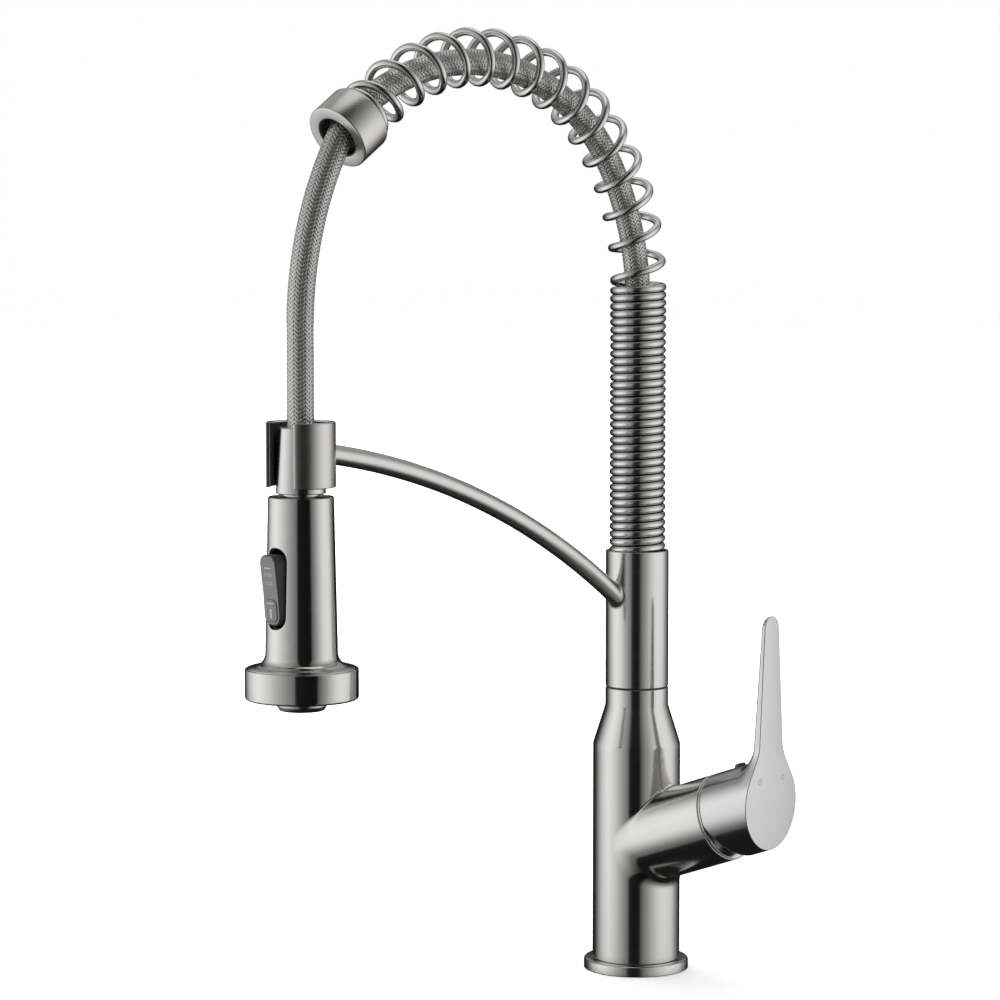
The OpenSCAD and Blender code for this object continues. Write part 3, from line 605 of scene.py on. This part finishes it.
PLUG_S, PLUG_R = 77.4, 3.0
radial = np.arange(20, 32, 0.05)
boss_up = np.array((-math.sin(BOSS_TILT), 0, math.cos(BOSS_TILT)))
probe = np.array(boss_axis) * PLUG_S + np.array(UP) * BOSS_Z + boss_up * radial[:, None]
plug_top = radial[np.argmax(handle_field(probe) > 0)] + 1.3
plug = rounded([(0.2, 19.1), (PLUG_R - 0.05, 19.1), (PLUG_R - 0.05, plug_top, 1.2), (0.2, plug_top + 0.35)])
plug_place = BOSS_FRAME @ Matrix.Translation((0, 0, PLUG_S * MM)) @ Matrix.Rotation(-math.pi / 2, 4, "Y")
piece("hub_plug", *turned(plug), dark_plastic, "handle", ["handle_plug"], plug_place, "dark_plastic")

# ---- Riser, spring and collar ----

riser = rounded([(RISER_IN_R, RISER_LOW, 0.3), (RISER_R, RISER_LOW, 0.35), (RISER_R, RISER_TOP, 0.5),
                 (RISER_IN_R, RISER_TOP, 0.4)])
piece("riser_sleeve", *turned(riser), nickel_turned, "riser", ["riser_tube"])

BEND_ARC = BEND_R * math.radians(BEND_TURN)
SPRING_LENGTH = BEND_ARC + SPRING_TAIL


def spring_axis(s):
    """The spring's axis at each distance s from the start of its bend: reach, height and heading from up."""
    h = np.clip(s, 0, BEND_ARC) / BEND_R
    straight, tail = np.minimum(s, 0), np.maximum(s - BEND_ARC, 0)
    return (BEND_R * (1 - np.cos(h)) + tail * np.sin(h),
            BEND_Z + BEND_R * np.sin(h) + straight + tail * np.cos(h), h)


FIRST_WIDER = 2.0
LAST_OPEN = (SPRING_LENGTH - WIRE_R - 0.1 - FIRST_WIDER) / OPEN_PITCH


def along_spring(turn):
    """Distance along the axis at each turn of the coil, counted from the start of the bend: close turns
    first, then open ones, and a last flat three quarters of a turn behind the collar."""
    fine = np.arange(-38, 20, 1 / 96)
    wider = FIRST_WIDER * np.exp(-np.maximum(fine, 0) / 1.2) / 1.2
    pitch = np.where(fine < 0, CLOSE_PITCH, np.where(fine < LAST_OPEN, OPEN_PITCH + wider, 0.0))
    ease = np.hanning(27)
    pitch = np.convolve(np.pad(pitch, 13, mode="edge"), ease / ease.sum(), "valid")
    total = np.concatenate([[0], np.cumsum((pitch[1:] + pitch[:-1]) / 2 / 96)])
    total -= CLOSE_PITCH + np.interp(-1, fine, total)
    return np.interp(turn, fine, total)


wire_low = reach("spring_close")[0][2] + WIRE_R
first_turn = (wire_low - BEND_Z) / CLOSE_PITCH
last_turn = LAST_OPEN + 0.75
turns = np.linspace(first_turn, last_turn, int((last_turn - first_turn) * 56))


def coil_point(turn):
    s = along_spring(turn)
    far, high, h = spring_axis(s)
    a = np.radians(OPEN_START) + 2 * np.pi * turn
    return np.stack([COIL_R * np.sin(a), -far - COIL_R * np.cos(a) * np.cos(h),
                     high - COIL_R * np.cos(a) * np.sin(h)], 1), np.stack([0 * s, -far, high], 1)


centres, axis_points = coil_point(turns)
tangent = np.gradient(centres, axis=0)
tangent /= np.linalg.norm(tangent, axis=1, keepdims=True)
outward = centres - axis_points
outward -= (outward * tangent).sum(1, keepdims=True) * tangent
outward /= np.linalg.norm(outward, axis=1, keepdims=True)
end_ease = np.minimum(np.arange(len(turns)), np.arange(len(turns))[::-1])
wire = WIRE_R * np.sqrt(1 - (1 - np.minimum(end_ease / 2.0, 1)) ** 2 * 0.5)
WIRE_SIDES = 32
coil_mesh = tube(centres, (outward, np.cross(tangent, outward)), wire, WIRE_SIDES)
coil = piece("coil_spring", *coil_mesh, coil_steel, "riser", ["spring_close", "spring_open"],
             slot="spring_steel")
# Painted shade on the close coils: the colour darkens to near black where turns touch, standing in for the
# shade between them.
beside = np.abs(np.sin(np.arange(WIRE_SIDES) * 2 * np.pi / WIRE_SIDES))
coil_gap_shade = np.clip(-0.5 - turns, 0, 1)[:, None] * np.clip((beside - 0.8) / 0.15, 0, 1)
mark_points(coil, "coil_gap_shade", coil_gap_shade)

end_reach, end_height, _ = spring_axis(np.array(SPRING_LENGTH))
COLLAR_FRAME = (Matrix.Translation((0, -end_reach * MM, end_height * MM))
                @ Matrix.Rotation(math.radians(BEND_TURN), 4, "X"))
collar = rounded([(COLLAR_BORE_R, 0, 0.4), (COLLAR_R, 0, 1.5), (COLLAR_R, COLLAR_LENGTH, 0.7),
                  (COLLAR_BORE_R, COLLAR_LENGTH, 0.4)])
piece("end_collar", *turned(collar), nickel_satin, "riser", ["spring_end_collar"], COLLAR_FRAME)

# Painted shade: a dark sleeve just inside the collar's bore, standing in for the shade in the bore.
shade_sleeve_in, shade_sleeve_out = COLLAR_BORE_R - 0.5, COLLAR_BORE_R - 0.02
bore_shade_sleeve = rounded([(shade_sleeve_in, 0.8, 0.2), (shade_sleeve_out, 0.8), (shade_sleeve_out, COLLAR_LENGTH - 0.8),
                  (shade_sleeve_in, COLLAR_LENGTH - 0.8, 0.2)])
piece("collar_bore_shade", *turned(bore_shade_sleeve), dark_plastic, "riser", (), COLLAR_FRAME, "dark_plastic")

# ---- Braided hose ----

BEND_STEPS = 60
route = [(0.0, HOSE_LOW, 0.0)]


def bend(start, radius, turn):
    """Points along a bend in the spout plane, from (reach, height, heading in degrees)."""
    x, z, h = start
    a = math.radians(h)
    out = []
    for t in np.linspace(0, turn, BEND_STEPS + 1)[1:]:
        b = math.radians(h + t)
        onward, upward = math.cos(a) - math.cos(b), math.sin(b) - math.sin(a)
        out.append((x + radius * onward, z + radius * upward, h + t))
    return out


route.append((0.0, HOSE_BEND_Z, 0.0))
for radius, turn in HOSE_BENDS:
    route += bend(route[-1], radius, turn)
far, high, heading = route[-1]
route += bend(route[-1], (SPRAY_R - far) / (1 + math.cos(math.radians(heading))), 180 - heading)
HOSE_IN_NECK = 3
route.append((SPRAY_R, NECK_TOP - HOSE_IN_NECK, 180.0))
route = np.array(route)
spacing = np.concatenate([[0], np.cumsum(np.hypot(*np.diff(route[:, :2], axis=0).T))])
HOSE_SIDES, HIDDEN_STEP, WOVEN_STEP = 144, 4, 0.36
seen_from = BEND_Z - HOSE_LOW - 8
stations = np.concatenate([np.arange(0, seen_from, HIDDEN_STEP),
                           np.arange(seen_from, spacing[-1], WOVEN_STEP), [spacing[-1]]])
far, high, heading = (np.interp(stations, spacing, column) for column in route.T)
heading = np.radians(heading)
hose_line = np.stack([0 * far, -far, high], 1)
hose_out = np.stack([0 * far, -np.cos(heading), -np.sin(heading)], 1)
hose_side = np.broadcast_to([1.0, 0, 0], hose_out.shape)

STRANDS, ROW_PITCH = 16, 1.98
around = np.arange(HOSE_SIDES) / HOSE_SIDES * STRANDS
lift = stations[:, None] / ROW_PITCH
left, right = around[None] + lift, around[None] - lift
over = np.tanh(2.6 * np.sin(np.pi * (left + right) / 2))


def strand(cross, height):
    """Height of one family of flat strands, from the place across a strand and how far it rides up."""
    place = np.abs(cross - np.round(cross)) / 0.5
    return 0.12 * height - 0.36 * place ** 4 - 0.05 * place ** 2


left_high, right_high = strand(left, over), strand(right, -over)
relief = np.maximum(left_high, right_high)
relief = np.where(stations[:, None] < seen_from, 0.0, relief)
hose_points, hose_faces = tube(hose_line, (hose_out, hose_side), HOSE_R - 0.2 + relief, HOSE_SIDES)

braid = Shader("hose_braid_gap_shade", Metallic=0.9)
# Painted shade: the gap attribute darkens the strands' colour to near black in the low places between
# strands, standing in for the shade there; the noise adds a random tone.
gap = braid.add("Attribute", attribute_name="gap").outputs["Fac"]
wires = braid.add("Attribute", attribute_name="wires").outputs["Fac"]
wave = braid.add("Math", {0: wires, 1: 2 * math.pi * 6}, operation="MULTIPLY")
wire_lines = braid.add("Math", {0: wave.outputs[0]}, operation="SINE").outputs[0]
dirt = braid.spread(braid.noise((700, 700, 700), 3.0), 0.85, 1.1)
gap_shade_and_dirt = braid.add("Math", {0: gap, 1: dirt}, operation="MULTIPLY").outputs[0]
braid.link(braid.blend(gap_shade_and_dirt, (0.012, 0.012, 0.012), (0.62, 0.62, 0.605)), "Base Color")
braid.link(braid.spread(dirt, 0.25, 0.33), "Roughness")
braid.link(braid.bump(wire_lines, 0.000008, 0.6), "Normal")
hose = piece("braided_hose", hose_points, hose_faces, braid.material, None, ["hose_upper", "hose_lower"],
             slot="braid")
# The gap attribute paints shade in the low places of the weave.
for name, value in (("gap", np.clip((relief + 0.2) / 0.24, 0, 1)),
                    ("wires", np.where(left_high > right_high, left, right))):
    mark_points(hose, name, value)
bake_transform(hose)

# ---- Docking arm and clip ----


def arm_at(reach_out, radius=0.0):
    """Where the arm is at a distance from the column, moved by radius away from the bend's centre."""
    c = np.clip((ARM_CENTRE[0] - reach_out) / (ARM_BEND_R + radius), -1, 1)
    return c, np.sqrt(1 - c * c)


reaches = np.linspace(14.2, SPRAY_R - CLIP_R + 1, 120)
c, s = arm_at(reaches)
arm_line = np.stack([0 * c, -(ARM_CENTRE[0] - ARM_BEND_R * c), ARM_CENTRE[1] + ARM_BEND_R * s], 1)
arm_out = np.stack([0 * c, c, s], 1)
arm = tube(arm_line, (arm_out, np.broadcast_to([1.0, 0, 0], arm_out.shape)), ARM_R, 48)
JOINT_POINTS, JOINT_FILLET, JOINT_ROWS = 72, 1.8, 8
a = np.arange(JOINT_POINTS) * 2 * np.pi / JOINT_POINTS
joint_x, outer = ARM_R * np.sin(a), ARM_R * np.cos(a)
joint_reach = np.sqrt(RISER_R ** 2 - joint_x ** 2)
c, s = arm_at(joint_reach, outer)
joint_line = np.stack([joint_x, -joint_reach, ARM_CENTRE[1] + (ARM_BEND_R + outer) * s], 1)
c, s = arm_at(joint_reach + JOINT_FILLET, outer)
on_arm = np.stack([joint_x, -(ARM_CENTRE[0] - (ARM_BEND_R + outer) * c),
                   ARM_CENTRE[1] + (ARM_BEND_R + outer) * s], 1)
spread_out = joint_line - joint_line.mean(0)
spread_out[:, 1] = 0
spread_out *= JOINT_FILLET / np.linalg.norm(spread_out, axis=1, keepdims=True)
on_riser = joint_line + spread_out
on_riser[:, 1] = -np.sqrt(RISER_R ** 2 - on_riser[:, 0] ** 2) + 0.02
fillet_rows = [(1 - k) ** 2 * on_arm + 2 * k * (1 - k) * joint_line + k * k * on_riser
               for k in np.linspace(0, 1, JOINT_ROWS)]
fillet = (np.concatenate(fillet_rows), loft_faces(JOINT_ROWS, JOINT_POINTS, caps=False))
piece("support_arm", *joined([arm, fillet]), nickel_satin, "riser", ["docking_arm"])


def open_ring(outer, wall, low, high, gap, edge, step=3):
    """A ring about Z that is open towards -Y, with every edge rounded."""
    ends = edge / outer
    start, end = math.radians(gap - 90), math.radians(270 - gap)
    places = [(start + ends * (1 - math.sin(b)), edge * (1 - math.cos(b)))
              for b in np.radians((90, 60, 30, 0))]
    middle = np.linspace(start + ends, end - ends, int(math.degrees(end - start) / step))[1:-1]
    places += [(angle, 0.0) for angle in middle]
    places += [(start + end - angle, inset) for angle, inset in places[3::-1]]
    rows = []
    for angle, inset in places:
        r, h = wall / 2 - inset, (high - low) / 2 - inset
        outline = rounded([(outer - wall / 2 + sx * r, (low + high) / 2 + sz * h, max(edge - inset, 0.02))
                           for sx, sz in ((-1, -1), (1, -1), (1, 1), (-1, 1))])
        rows.append([(q[0] * math.cos(angle), q[0] * math.sin(angle), q[1]) for q in outline])
    return np.array([p for row in rows for p in row]), loft_faces(len(rows), len(rows[0]))


piece("clip_ring", *open_ring(CLIP_R, CLIP_WALL, CLIP_LOW, CLIP_HIGH, CLIP_GAP, 0.65), nickel_satin, "riser",
      ["docking_clip"], SPRAY_FRAME)
clip_lining = open_ring(CLIP_R - CLIP_WALL - 0.02, 1.5, CLIP_LOW + 0.8, CLIP_HIGH - 0.8, CLIP_GAP + 3, 0.5)
piece("clip_lining", *clip_lining, rubber, "riser", ["clip_liner"], SPRAY_FRAME, "rubber")

# ---- Spray head ----

neck = rounded([(4.5, NECK_LOW), (8.95, NECK_LOW, 0.3), (8.95, 260.3), (11.8, 260.3, 0.5),
                (10.2, NECK_TOP, 0.9), (6.7, NECK_TOP, 0.3), (6.7, NECK_TOP - 5), (4.5, NECK_TOP - 5)])
piece("neck_sleeve", *turned(neck), nickel_turned, "neck", ["spray_neck"], SPRAY_FRAME)

FLARE_TOP, FLARE_R, SHELL_LOW_R, SHELL_TOP_R, SHELL_IN_R = SHOULDER_Z + 7.3, 6.3, 17.1, 15.5, 13.5


def shell_radius(z):
    return SHELL_TOP_R + (SHELL_TOP - z) / (SHELL_TOP - FLARE_TOP) * (SHELL_LOW_R - SHELL_TOP_R)


WALL_COLUMNS, PATCH_COLUMNS, PATCH_ROWS = 160, 16, 24
PATCH_LOW, PATCH_HIGH = SLOT_LOW - 7, SLOT_HIGH + 7
patch_z = np.linspace(PATCH_HIGH, PATCH_LOW, PATCH_ROWS + 1)
upper = rounded([(SHELL_IN_R, SHELL_TOP - 1), (SHELL_IN_R, SHELL_TOP, 0.3), (SHELL_TOP_R, SHELL_TOP, 0.7),
                 (shell_radius(PATCH_HIGH + 2), PATCH_HIGH + 2)])
flare = [(SHELL_LOW_R + FLARE_R * (1 - math.cos(a)), SHOULDER_Z + 1 + FLARE_R * (1 - math.sin(a)))
         for a in np.radians(np.linspace(0, 88, 14))]
lower = rounded([(shell_radius(PATCH_LOW - 2), PATCH_LOW - 2)] + flare
                + [(RIM_R - 0.9, SHOULDER_Z + 0.25, 0.2), (RIM_R - 1.0, SHOULDER_Z),
                   (SHELL_IN_R + 0.8, SHOULDER_Z), (SHELL_IN_R + 0.8, SHOULDER_Z + 4),
                   (SHELL_IN_R, SHOULDER_Z + 8)])
wall = [(shell_radius(z), z) for z in patch_z]
inner_wall = [(SHELL_IN_R, z) for z in patch_z[::-1]]
outline = np.array([*upper, *wall, *lower, *inner_wall])
points, faces = turned(outline, angles=np.arange(WALL_COLUMNS) * 2 * math.pi / WALL_COLUMNS - math.pi / 2)
rows, first, inner_first = len(outline), len(upper), len(outline) - len(inner_wall)
in_patch = {i % WALL_COLUMNS for i in range(-PATCH_COLUMNS, PATCH_COLUMNS)}
faces = [f for k, f in enumerate(faces)
         if not (k // rows in in_patch and (first <= k % rows < first + PATCH_ROWS
                                            or inner_first <= k % rows < inner_first + PATCH_ROWS))]
edge_places = [(i, 0) for i in range(-PATCH_COLUMNS, PATCH_COLUMNS)]
edge_places += [(PATCH_COLUMNS, j) for j in range(PATCH_ROWS)]
edge_places += [(-i, PATCH_ROWS) for i in range(-PATCH_COLUMNS, PATCH_COLUMNS)]
edge_places += [(-PATCH_COLUMNS, PATCH_ROWS - j) for j in range(PATCH_ROWS)]
edge_numbers = [i % WALL_COLUMNS * rows + first + j for i, j in edge_places]
inner_numbers = [i % WALL_COLUMNS * rows + inner_first + PATCH_ROWS - j for i, j in edge_places]
unit = np.array([(i / PATCH_COLUMNS, 1 - 2 * j / PATCH_ROWS) for i, j in edge_places])
SLOT_EDGE, SLOT_CORNER = 0.3, SLOT_W / 2 - 0.6
slot_middle = (SLOT_LOW + SLOT_HIGH) / 2


def slot_ring(grown):
    """The slot's outline, made larger all round by grown, at the patch's own places."""
    half = np.array([SLOT_W / 2, (SLOT_HIGH - SLOT_LOW) / 2]) + grown
    corner = SLOT_CORNER + grown
    spot = unit * half
    middle = np.sign(spot) * (half - corner)
    arm_ = spot - middle
    outside = (np.abs(spot) > half - corner).all(1)
    length = np.maximum(np.linalg.norm(arm_, axis=1, keepdims=True), 1e-9)
    return np.where(outside[:, None], middle + arm_ / length * corner, spot)


def on_wall(place, depth=0.0):
    z = place[:, 1] + slot_middle
    return np.stack([place[:, 0], -np.sqrt(shell_radius(z) ** 2 - place[:, 0] ** 2) + depth, z], 1)


outer_place = points[edge_numbers][:, [0, 2]] - (0, slot_middle)
inner_place = slot_ring(SLOT_EDGE)
patch = [on_wall(inner_place + (outer_place - inner_place) * t) for t in (0.75, 0.5, 0.28, 0.12, 0)]
patch += [on_wall(slot_ring(SLOT_EDGE * (1 - math.sin(a))), SLOT_EDGE * (1 - math.cos(a)))
          for a in np.radians((30, 60, 90))]
slot_inside = slot_ring(0)
patch.append(np.stack([slot_inside[:, 0], -np.sqrt(SHELL_IN_R ** 2 - slot_inside[:, 0] ** 2),
                       slot_inside[:, 1] + slot_middle], 1))
points, faces, _ = grow(points, faces, np.zeros_like(points), edge_numbers, patch, cap=False)
count = len(edge_numbers)
last = range(len(points) - count, len(points))
faces += [[last[i], last[(i + 1) % count], inner_numbers[(i + 1) % count], inner_numbers[i]]
          for i in range(count)]
piece("head_shell", points, faces, nickel_head, "spray_head", ["spray_shell"], SPRAY_FRAME)

RIM_WEB, rim_top = 175.5, SHOULDER_Z - 0.02
rim = rounded([(14.5, RIM_WEB), (14.5, rim_top), (RIM_R, rim_top, 0.7), (RIM_R, RIM_LOW, 1.4),
               (RIM_R - RIM_WALL, RIM_LOW, 0.7), (RIM_R - RIM_WALL, RIM_WEB)])
piece("face_rim", *turned(rim), nickel_head, "spray_head", ["spray_rim"], SPRAY_FRAME)
disc = rounded([(12.3, FACE_LOW, 0.3), (12.3, FACE_HIGH), (24.45, FACE_HIGH), (24.45, FACE_LOW, 0.4),
                (23, FACE_LOW), (22.8, FACE_LOW + 0.3), (15.4, FACE_LOW + 0.3), (15.2, FACE_LOW)])
piece("spray_plate", *turned(disc), dark_plastic, "spray_head", ["spray_face"], SPRAY_FRAME, "dark_plastic")
nozzle = turned(rounded([(0.95, FACE_LOW + 0.8), (0.95, FACE_LOW - 0.2), (0.85, FACE_LOW - 1, 0.25),
                         (0.4, FACE_LOW - 1, 0.1), (0.3, FACE_LOW + 0.5)], 3), 16)
nozzles = [shifted(nozzle, r * math.cos(a), r * math.sin(a)) for r, count in ((17, 18), (21, 24))
           for a in (np.arange(count) + 0.5) * 2 * math.pi / count]
piece("nozzle_tips", *joined(nozzles), rubber, "spray_head", ["spray_nozzles"], SPRAY_FRAME, "rubber")
housing = rounded([(5, 164.2), (8.6, 164.2), (8.6, 158, 0.4), (10.6, 158, 0.8), (11.9, 160.3, 1.5),
                   (11.7, 163), (11.7, 170.9), (5, 170.9)])
piece("aerator_cup", *turned(housing), metal("aerator_metal", (0.5, 0.5, 0.49), 0.2, ROUND_GRAIN, turned=0.5),
      "spray_head", ["aerator_housing"], SPRAY_FRAME)
collet = rounded([(12, 161.3), (12.6, 161.3, 0.4), (13.3, 162.4, 0.4), (13.3, 164.98), (11.72, 164.98)])
piece("aerator_trim", *turned(collet), nickel_turned, "spray_head", ["aerator_ring"], SPRAY_FRAME)

ROCKER_W, ROCKER_LOW, ROCKER_HIGH, WAIST, WAIST_Z = 11.4, SLOT_LOW + 1.8, SLOT_HIGH - 2.4, 19.1, 214
rocker_side = np.array([(7.9, 214.5), (7.9, 218.5), (13, ROCKER_HIGH - 0.6), (20.6, ROCKER_HIGH),
                        (21.5, ROCKER_HIGH - 0.9), (WAIST, WAIST_Z), (17.9, ROCKER_LOW + 0.7),
                        (17.2, ROCKER_LOW), (14.4, ROCKER_LOW)])


def rocker_field(p):
    side = polygon_field(-p[:, 1], p[:, 2], rocker_side)
    corner = ROCKER_W / 2 - 0.6
    x = np.abs(p[:, 0]) - ROCKER_W / 2 + corner
    z = np.abs(p[:, 2] - (ROCKER_LOW + ROCKER_HIGH) / 2) - (ROCKER_HIGH - ROCKER_LOW) / 2 + corner
    front = np.hypot(np.maximum(x, 0), np.maximum(z, 0)) + np.minimum(np.maximum(x, z), 0) - corner
    return round_max(side, front, 0.9)


moulding = Shader("button_moulding_front_sheen", Roughness=0.5)
# Painted sheen: points that face forward get a lighter grey, standing in for light on the button's front; the
# sides stay near black.
front_sheen = moulding.add("Attribute", attribute_name="front").outputs["Fac"]
moulding.link(moulding.blend(front_sheen, (0.026, 0.026, 0.027), (0.2, 0.2, 0.202)), "Base Color")
moulding.link(moulding.bump(moulding.noise((1500, 1500, 1500), 2.0), 0.04 * MM), "Normal")


def mark_front_sheen(made):
    """Marks how squarely each point of a button piece faces forward, for the painted sheen that lightens the
    moulding's front.
    """
    facing = np.array([-n.vector.y for n in made.data.vertex_normals])
    mark_points(made, "front", np.clip((facing - 0.8) / 0.15, 0, 1))


points, faces, normals = surface(rocker_field, (-6.5, -21.6, 198), (6.5, -7, 234), 0.28)
rocker = piece("rocker_button", points, faces, moulding.material, "button", ["button_rocker"], SPRAY_FRAME,
               "button_plastic", normals)
mark_front_sheen(rocker)
UPPER_LEAN, LOWER_LEAN = 7.47, 4.87


def on_rocker(part, z):
    """A part set on the rocker's front at a height, leaning as the front does there."""
    lean = UPPER_LEAN if z > WAIST_Z else LOWER_LEAN
    return shifted(part, 0, -(WAIST + (z - WAIST_Z) * math.tan(math.radians(lean))), z, lean)


pad = on_rocker(plate(8.2, 10.6, 2.6, 0.42, 0.3), 206.6)
mark_front_sheen(piece("rocker_pad", *pad, moulding.material, "button", ["button_pads"], SPRAY_FRAME,
                 "button_plastic"))
signs = [on_rocker(plate(4.6, 0.7, 0.3, 0.16, 0.08), 226.6)]
for row in (219.6, 223.4):
    for x in (-2.1, -0.7, 0.7, 2.1):
        tick, tick_faces = plate(0.5, 2.0, 0.24, 0.14, 0.07)
        signs.append(on_rocker((tick + (x, 0, 0), tick_faces), row))
low_signs = [on_rocker((q + (0, -0.4, 0), f), z) for (q, f), z in
             ((plate(4.6, 0.6, 0.28, 0.14, 0.07), 210), (plate(1.5, 4.6, 0.4, 0.12, 0.06), 205.2))]
piece("rocker_signs", *joined(signs + low_signs), button_mark, "button", (), SPRAY_FRAME, "button_plastic")

# ---- Studio: pale floor and backdrop, a light tent with a dark gap in front, and a sun overhead ----

right_way = np.array((math.cos(math.radians(CAMERA_TURN)), math.sin(math.radians(CAMERA_TURN))))
ahead = np.array((-right_way[1], right_way[0]))


def glow(name, colour, strength):
    s = Shader(name)
    emission = s.add("Emission", {"Color": (*colour, 1), "Strength": strength})
    s.material.node_tree.links.new(emission.outputs[0], s.nodes["Material Output"].inputs["Surface"])
    return s.material


def stage_mesh(name, points, faces, material, camera=True, glossy=True, diffuse=True):
    mesh = bpy.data.meshes.new(name)
    mesh.from_pydata(points, [], faces)
    mesh.materials.append(material)
    made = bpy.data.objects.new(name, mesh)
    scene.collection.objects.link(made)
    made.visible_camera, made.visible_glossy, made.visible_diffuse = camera, glossy, diffuse
    made.visible_shadow = False
    return made


# Brightness of the tent's wall by its bearing from the camera's side of the column, and by height in metres
BEARINGS = {-146: 0.02, -132: 0.12, -118: 0.5, -106: 0.85, -92: 1.12, -80: 1.2, -69: 1.06, -57: 0.85,
            -46: 0.61, -34: 0.39, -22: 0.2, 8: 0.1, 20: 0.3, 30: 0.45, 41: 0.66, 53: 0.88, 65: 1.03, 78: 1.08,
            92: 1.04, 106: 0.9, 118: 0.5, 130: 0.25, 146: 0.03}
HEIGHTS = {-0.7: 0.12, -0.46: 0.25, -0.28: 0.6, -0.12: 0.95, 0.05: 1.0, 0.45: 1.0, 0.61: 0.8, 0.8: 0.6,
           0.95: 0.38, 1.02: 0.25}
# How far in the wall leans by height, and the light that its upper part adds behind the object
LEAN = {0.61: 1.0, 0.8: 0.9, 0.95: 0.7, 1.02: 0.4}
HIGH_LIGHT, HIGH_FROM, BEHIND_FROM = 0.45, (0.55, 0.8), (95, 120)


def tent_radius(bearing):
    near, far = (0.605, 0.86) if bearing < 0 else (0.509, 0.8)
    return near + (far - near) * min(1, (abs(bearing) - 8) / 90)


def tent_side(name, start, end, share=1.0):
    """A part of the light tent: a curved wall that leans in over the top, with a brightness at each point.
    share dims the whole of it."""
    bearings = np.linspace(start, end, 50)
    heights = np.unique(np.concatenate([np.linspace(-0.7, 1.02, 24), list(LEAN)]))
    lean = np.interp(heights, list(LEAN), list(LEAN.values()))
    points, levels = [], []
    for bearing in bearings:
        away = right_way * math.sin(math.radians(bearing)) - ahead * math.cos(math.radians(bearing))
        for height, scale in zip(heights, lean):
            points.append((*(away * tent_radius(bearing) * scale), height))
            level = (np.interp(bearing, list(BEARINGS), list(BEARINGS.values()))
                     * np.interp(height, list(HEIGHTS), list(HEIGHTS.values())) * share)
            behind = np.interp(abs(bearing), BEHIND_FROM, (0, 1))
            levels.append(max(level, np.interp(height, HIGH_FROM, (0, HIGH_LIGHT)) * behind))
    n = len(heights)
    faces = [(i * n + j, i * n + j + 1, (i + 1) * n + j + 1, (i + 1) * n + j)
             for i in range(len(bearings) - 1) for j in range(n - 1)]
    s = Shader(name + "_light")
    level = s.add("Attribute", attribute_name="level").outputs["Fac"]
    emission = s.add("Emission", {"Strength": level})
    s.material.node_tree.links.new(emission.outputs[0], s.nodes["Material Output"].inputs["Surface"])
    made = stage_mesh(name, points, faces, s.material, camera=False)
    mark_points(made, "level", np.array(levels))


tent_side("tent_left", -146, -22)
tent_side("tent_front", -22, 8, 0.06)
tent_side("tent_right", 8, 146)

floor_look = Shader("floor_paper", Roughness=0.9)
floor_look.base.inputs["Emission Color"].default_value = (1, 1, 1, 1)
floor_look.base.inputs["Emission Strength"].default_value = 0.3
floor_look.link(floor_look.blend(floor_look.noise((2, 2, 2), 2.0), (0.9, 0.9, 0.9), (0.92, 0.92, 0.92)),
                "Base Color")
stage_mesh("floor", [(-9, -9, 0), (9, -9, 0), (9, 9, 0), (-9, 9, 0)], [(0, 1, 2, 3)], floor_look.material,
           glossy=False)
bm = bmesh.new()
bmesh.ops.create_icosphere(bm, subdivisions=4, radius=8.8)
dome_mesh = bpy.data.meshes.new("backdrop")
bm.to_mesh(dome_mesh)
bm.free()
stage_mesh("backdrop", [v.co[:] for v in dome_mesh.vertices], [tuple(p.vertices) for p in dome_mesh.polygons],
           glow("backdrop_paper", (1, 1, 1), 1.0), glossy=False, diffuse=False)
sun = bpy.data.objects.new("overhead", bpy.data.lights.new("overhead", "SUN"))
sun.data.energy = 4.5
sun.data.angle = math.radians(95)
sun.rotation_euler = (math.radians(12), math.radians(-8), 0)
sun.visible_glossy = False
scene.collection.objects.link(sun)

world = bpy.data.worlds.new("studio")
scene.world = world
world.use_nodes = True
tree = world.node_tree
way = tree.nodes.new("ShaderNodeTexCoord")
split = tree.nodes.new("ShaderNodeSeparateXYZ")
ramp = tree.nodes.new("ShaderNodeValToRGB")
lift_up = tree.nodes.new("ShaderNodeMapRange")
lift_up.inputs["From Min"].default_value = -1
tree.links.new(way.outputs["Generated"], split.inputs[0])
tree.links.new(split.outputs["Z"], lift_up.inputs["Value"])
tree.links.new(lift_up.outputs[0], ramp.inputs[0])
tree.links.new(ramp.outputs[0], tree.nodes["Background"].inputs["Color"])
stops = ramp.color_ramp.elements
stops[0].position, stops[0].color = 0.45, (0.012, 0.012, 0.012, 1)
stops[1].position, stops[1].color = 1.0, (1.0, 1.0, 1.0, 1)
for place, level in ((0.6, 0.02), (0.67, 0.3), (0.8, 0.45), (0.9, 0.75)):
    stops.new(place).color = (level, level, level, 1)
scene.view_settings.view_transform = "Standard"
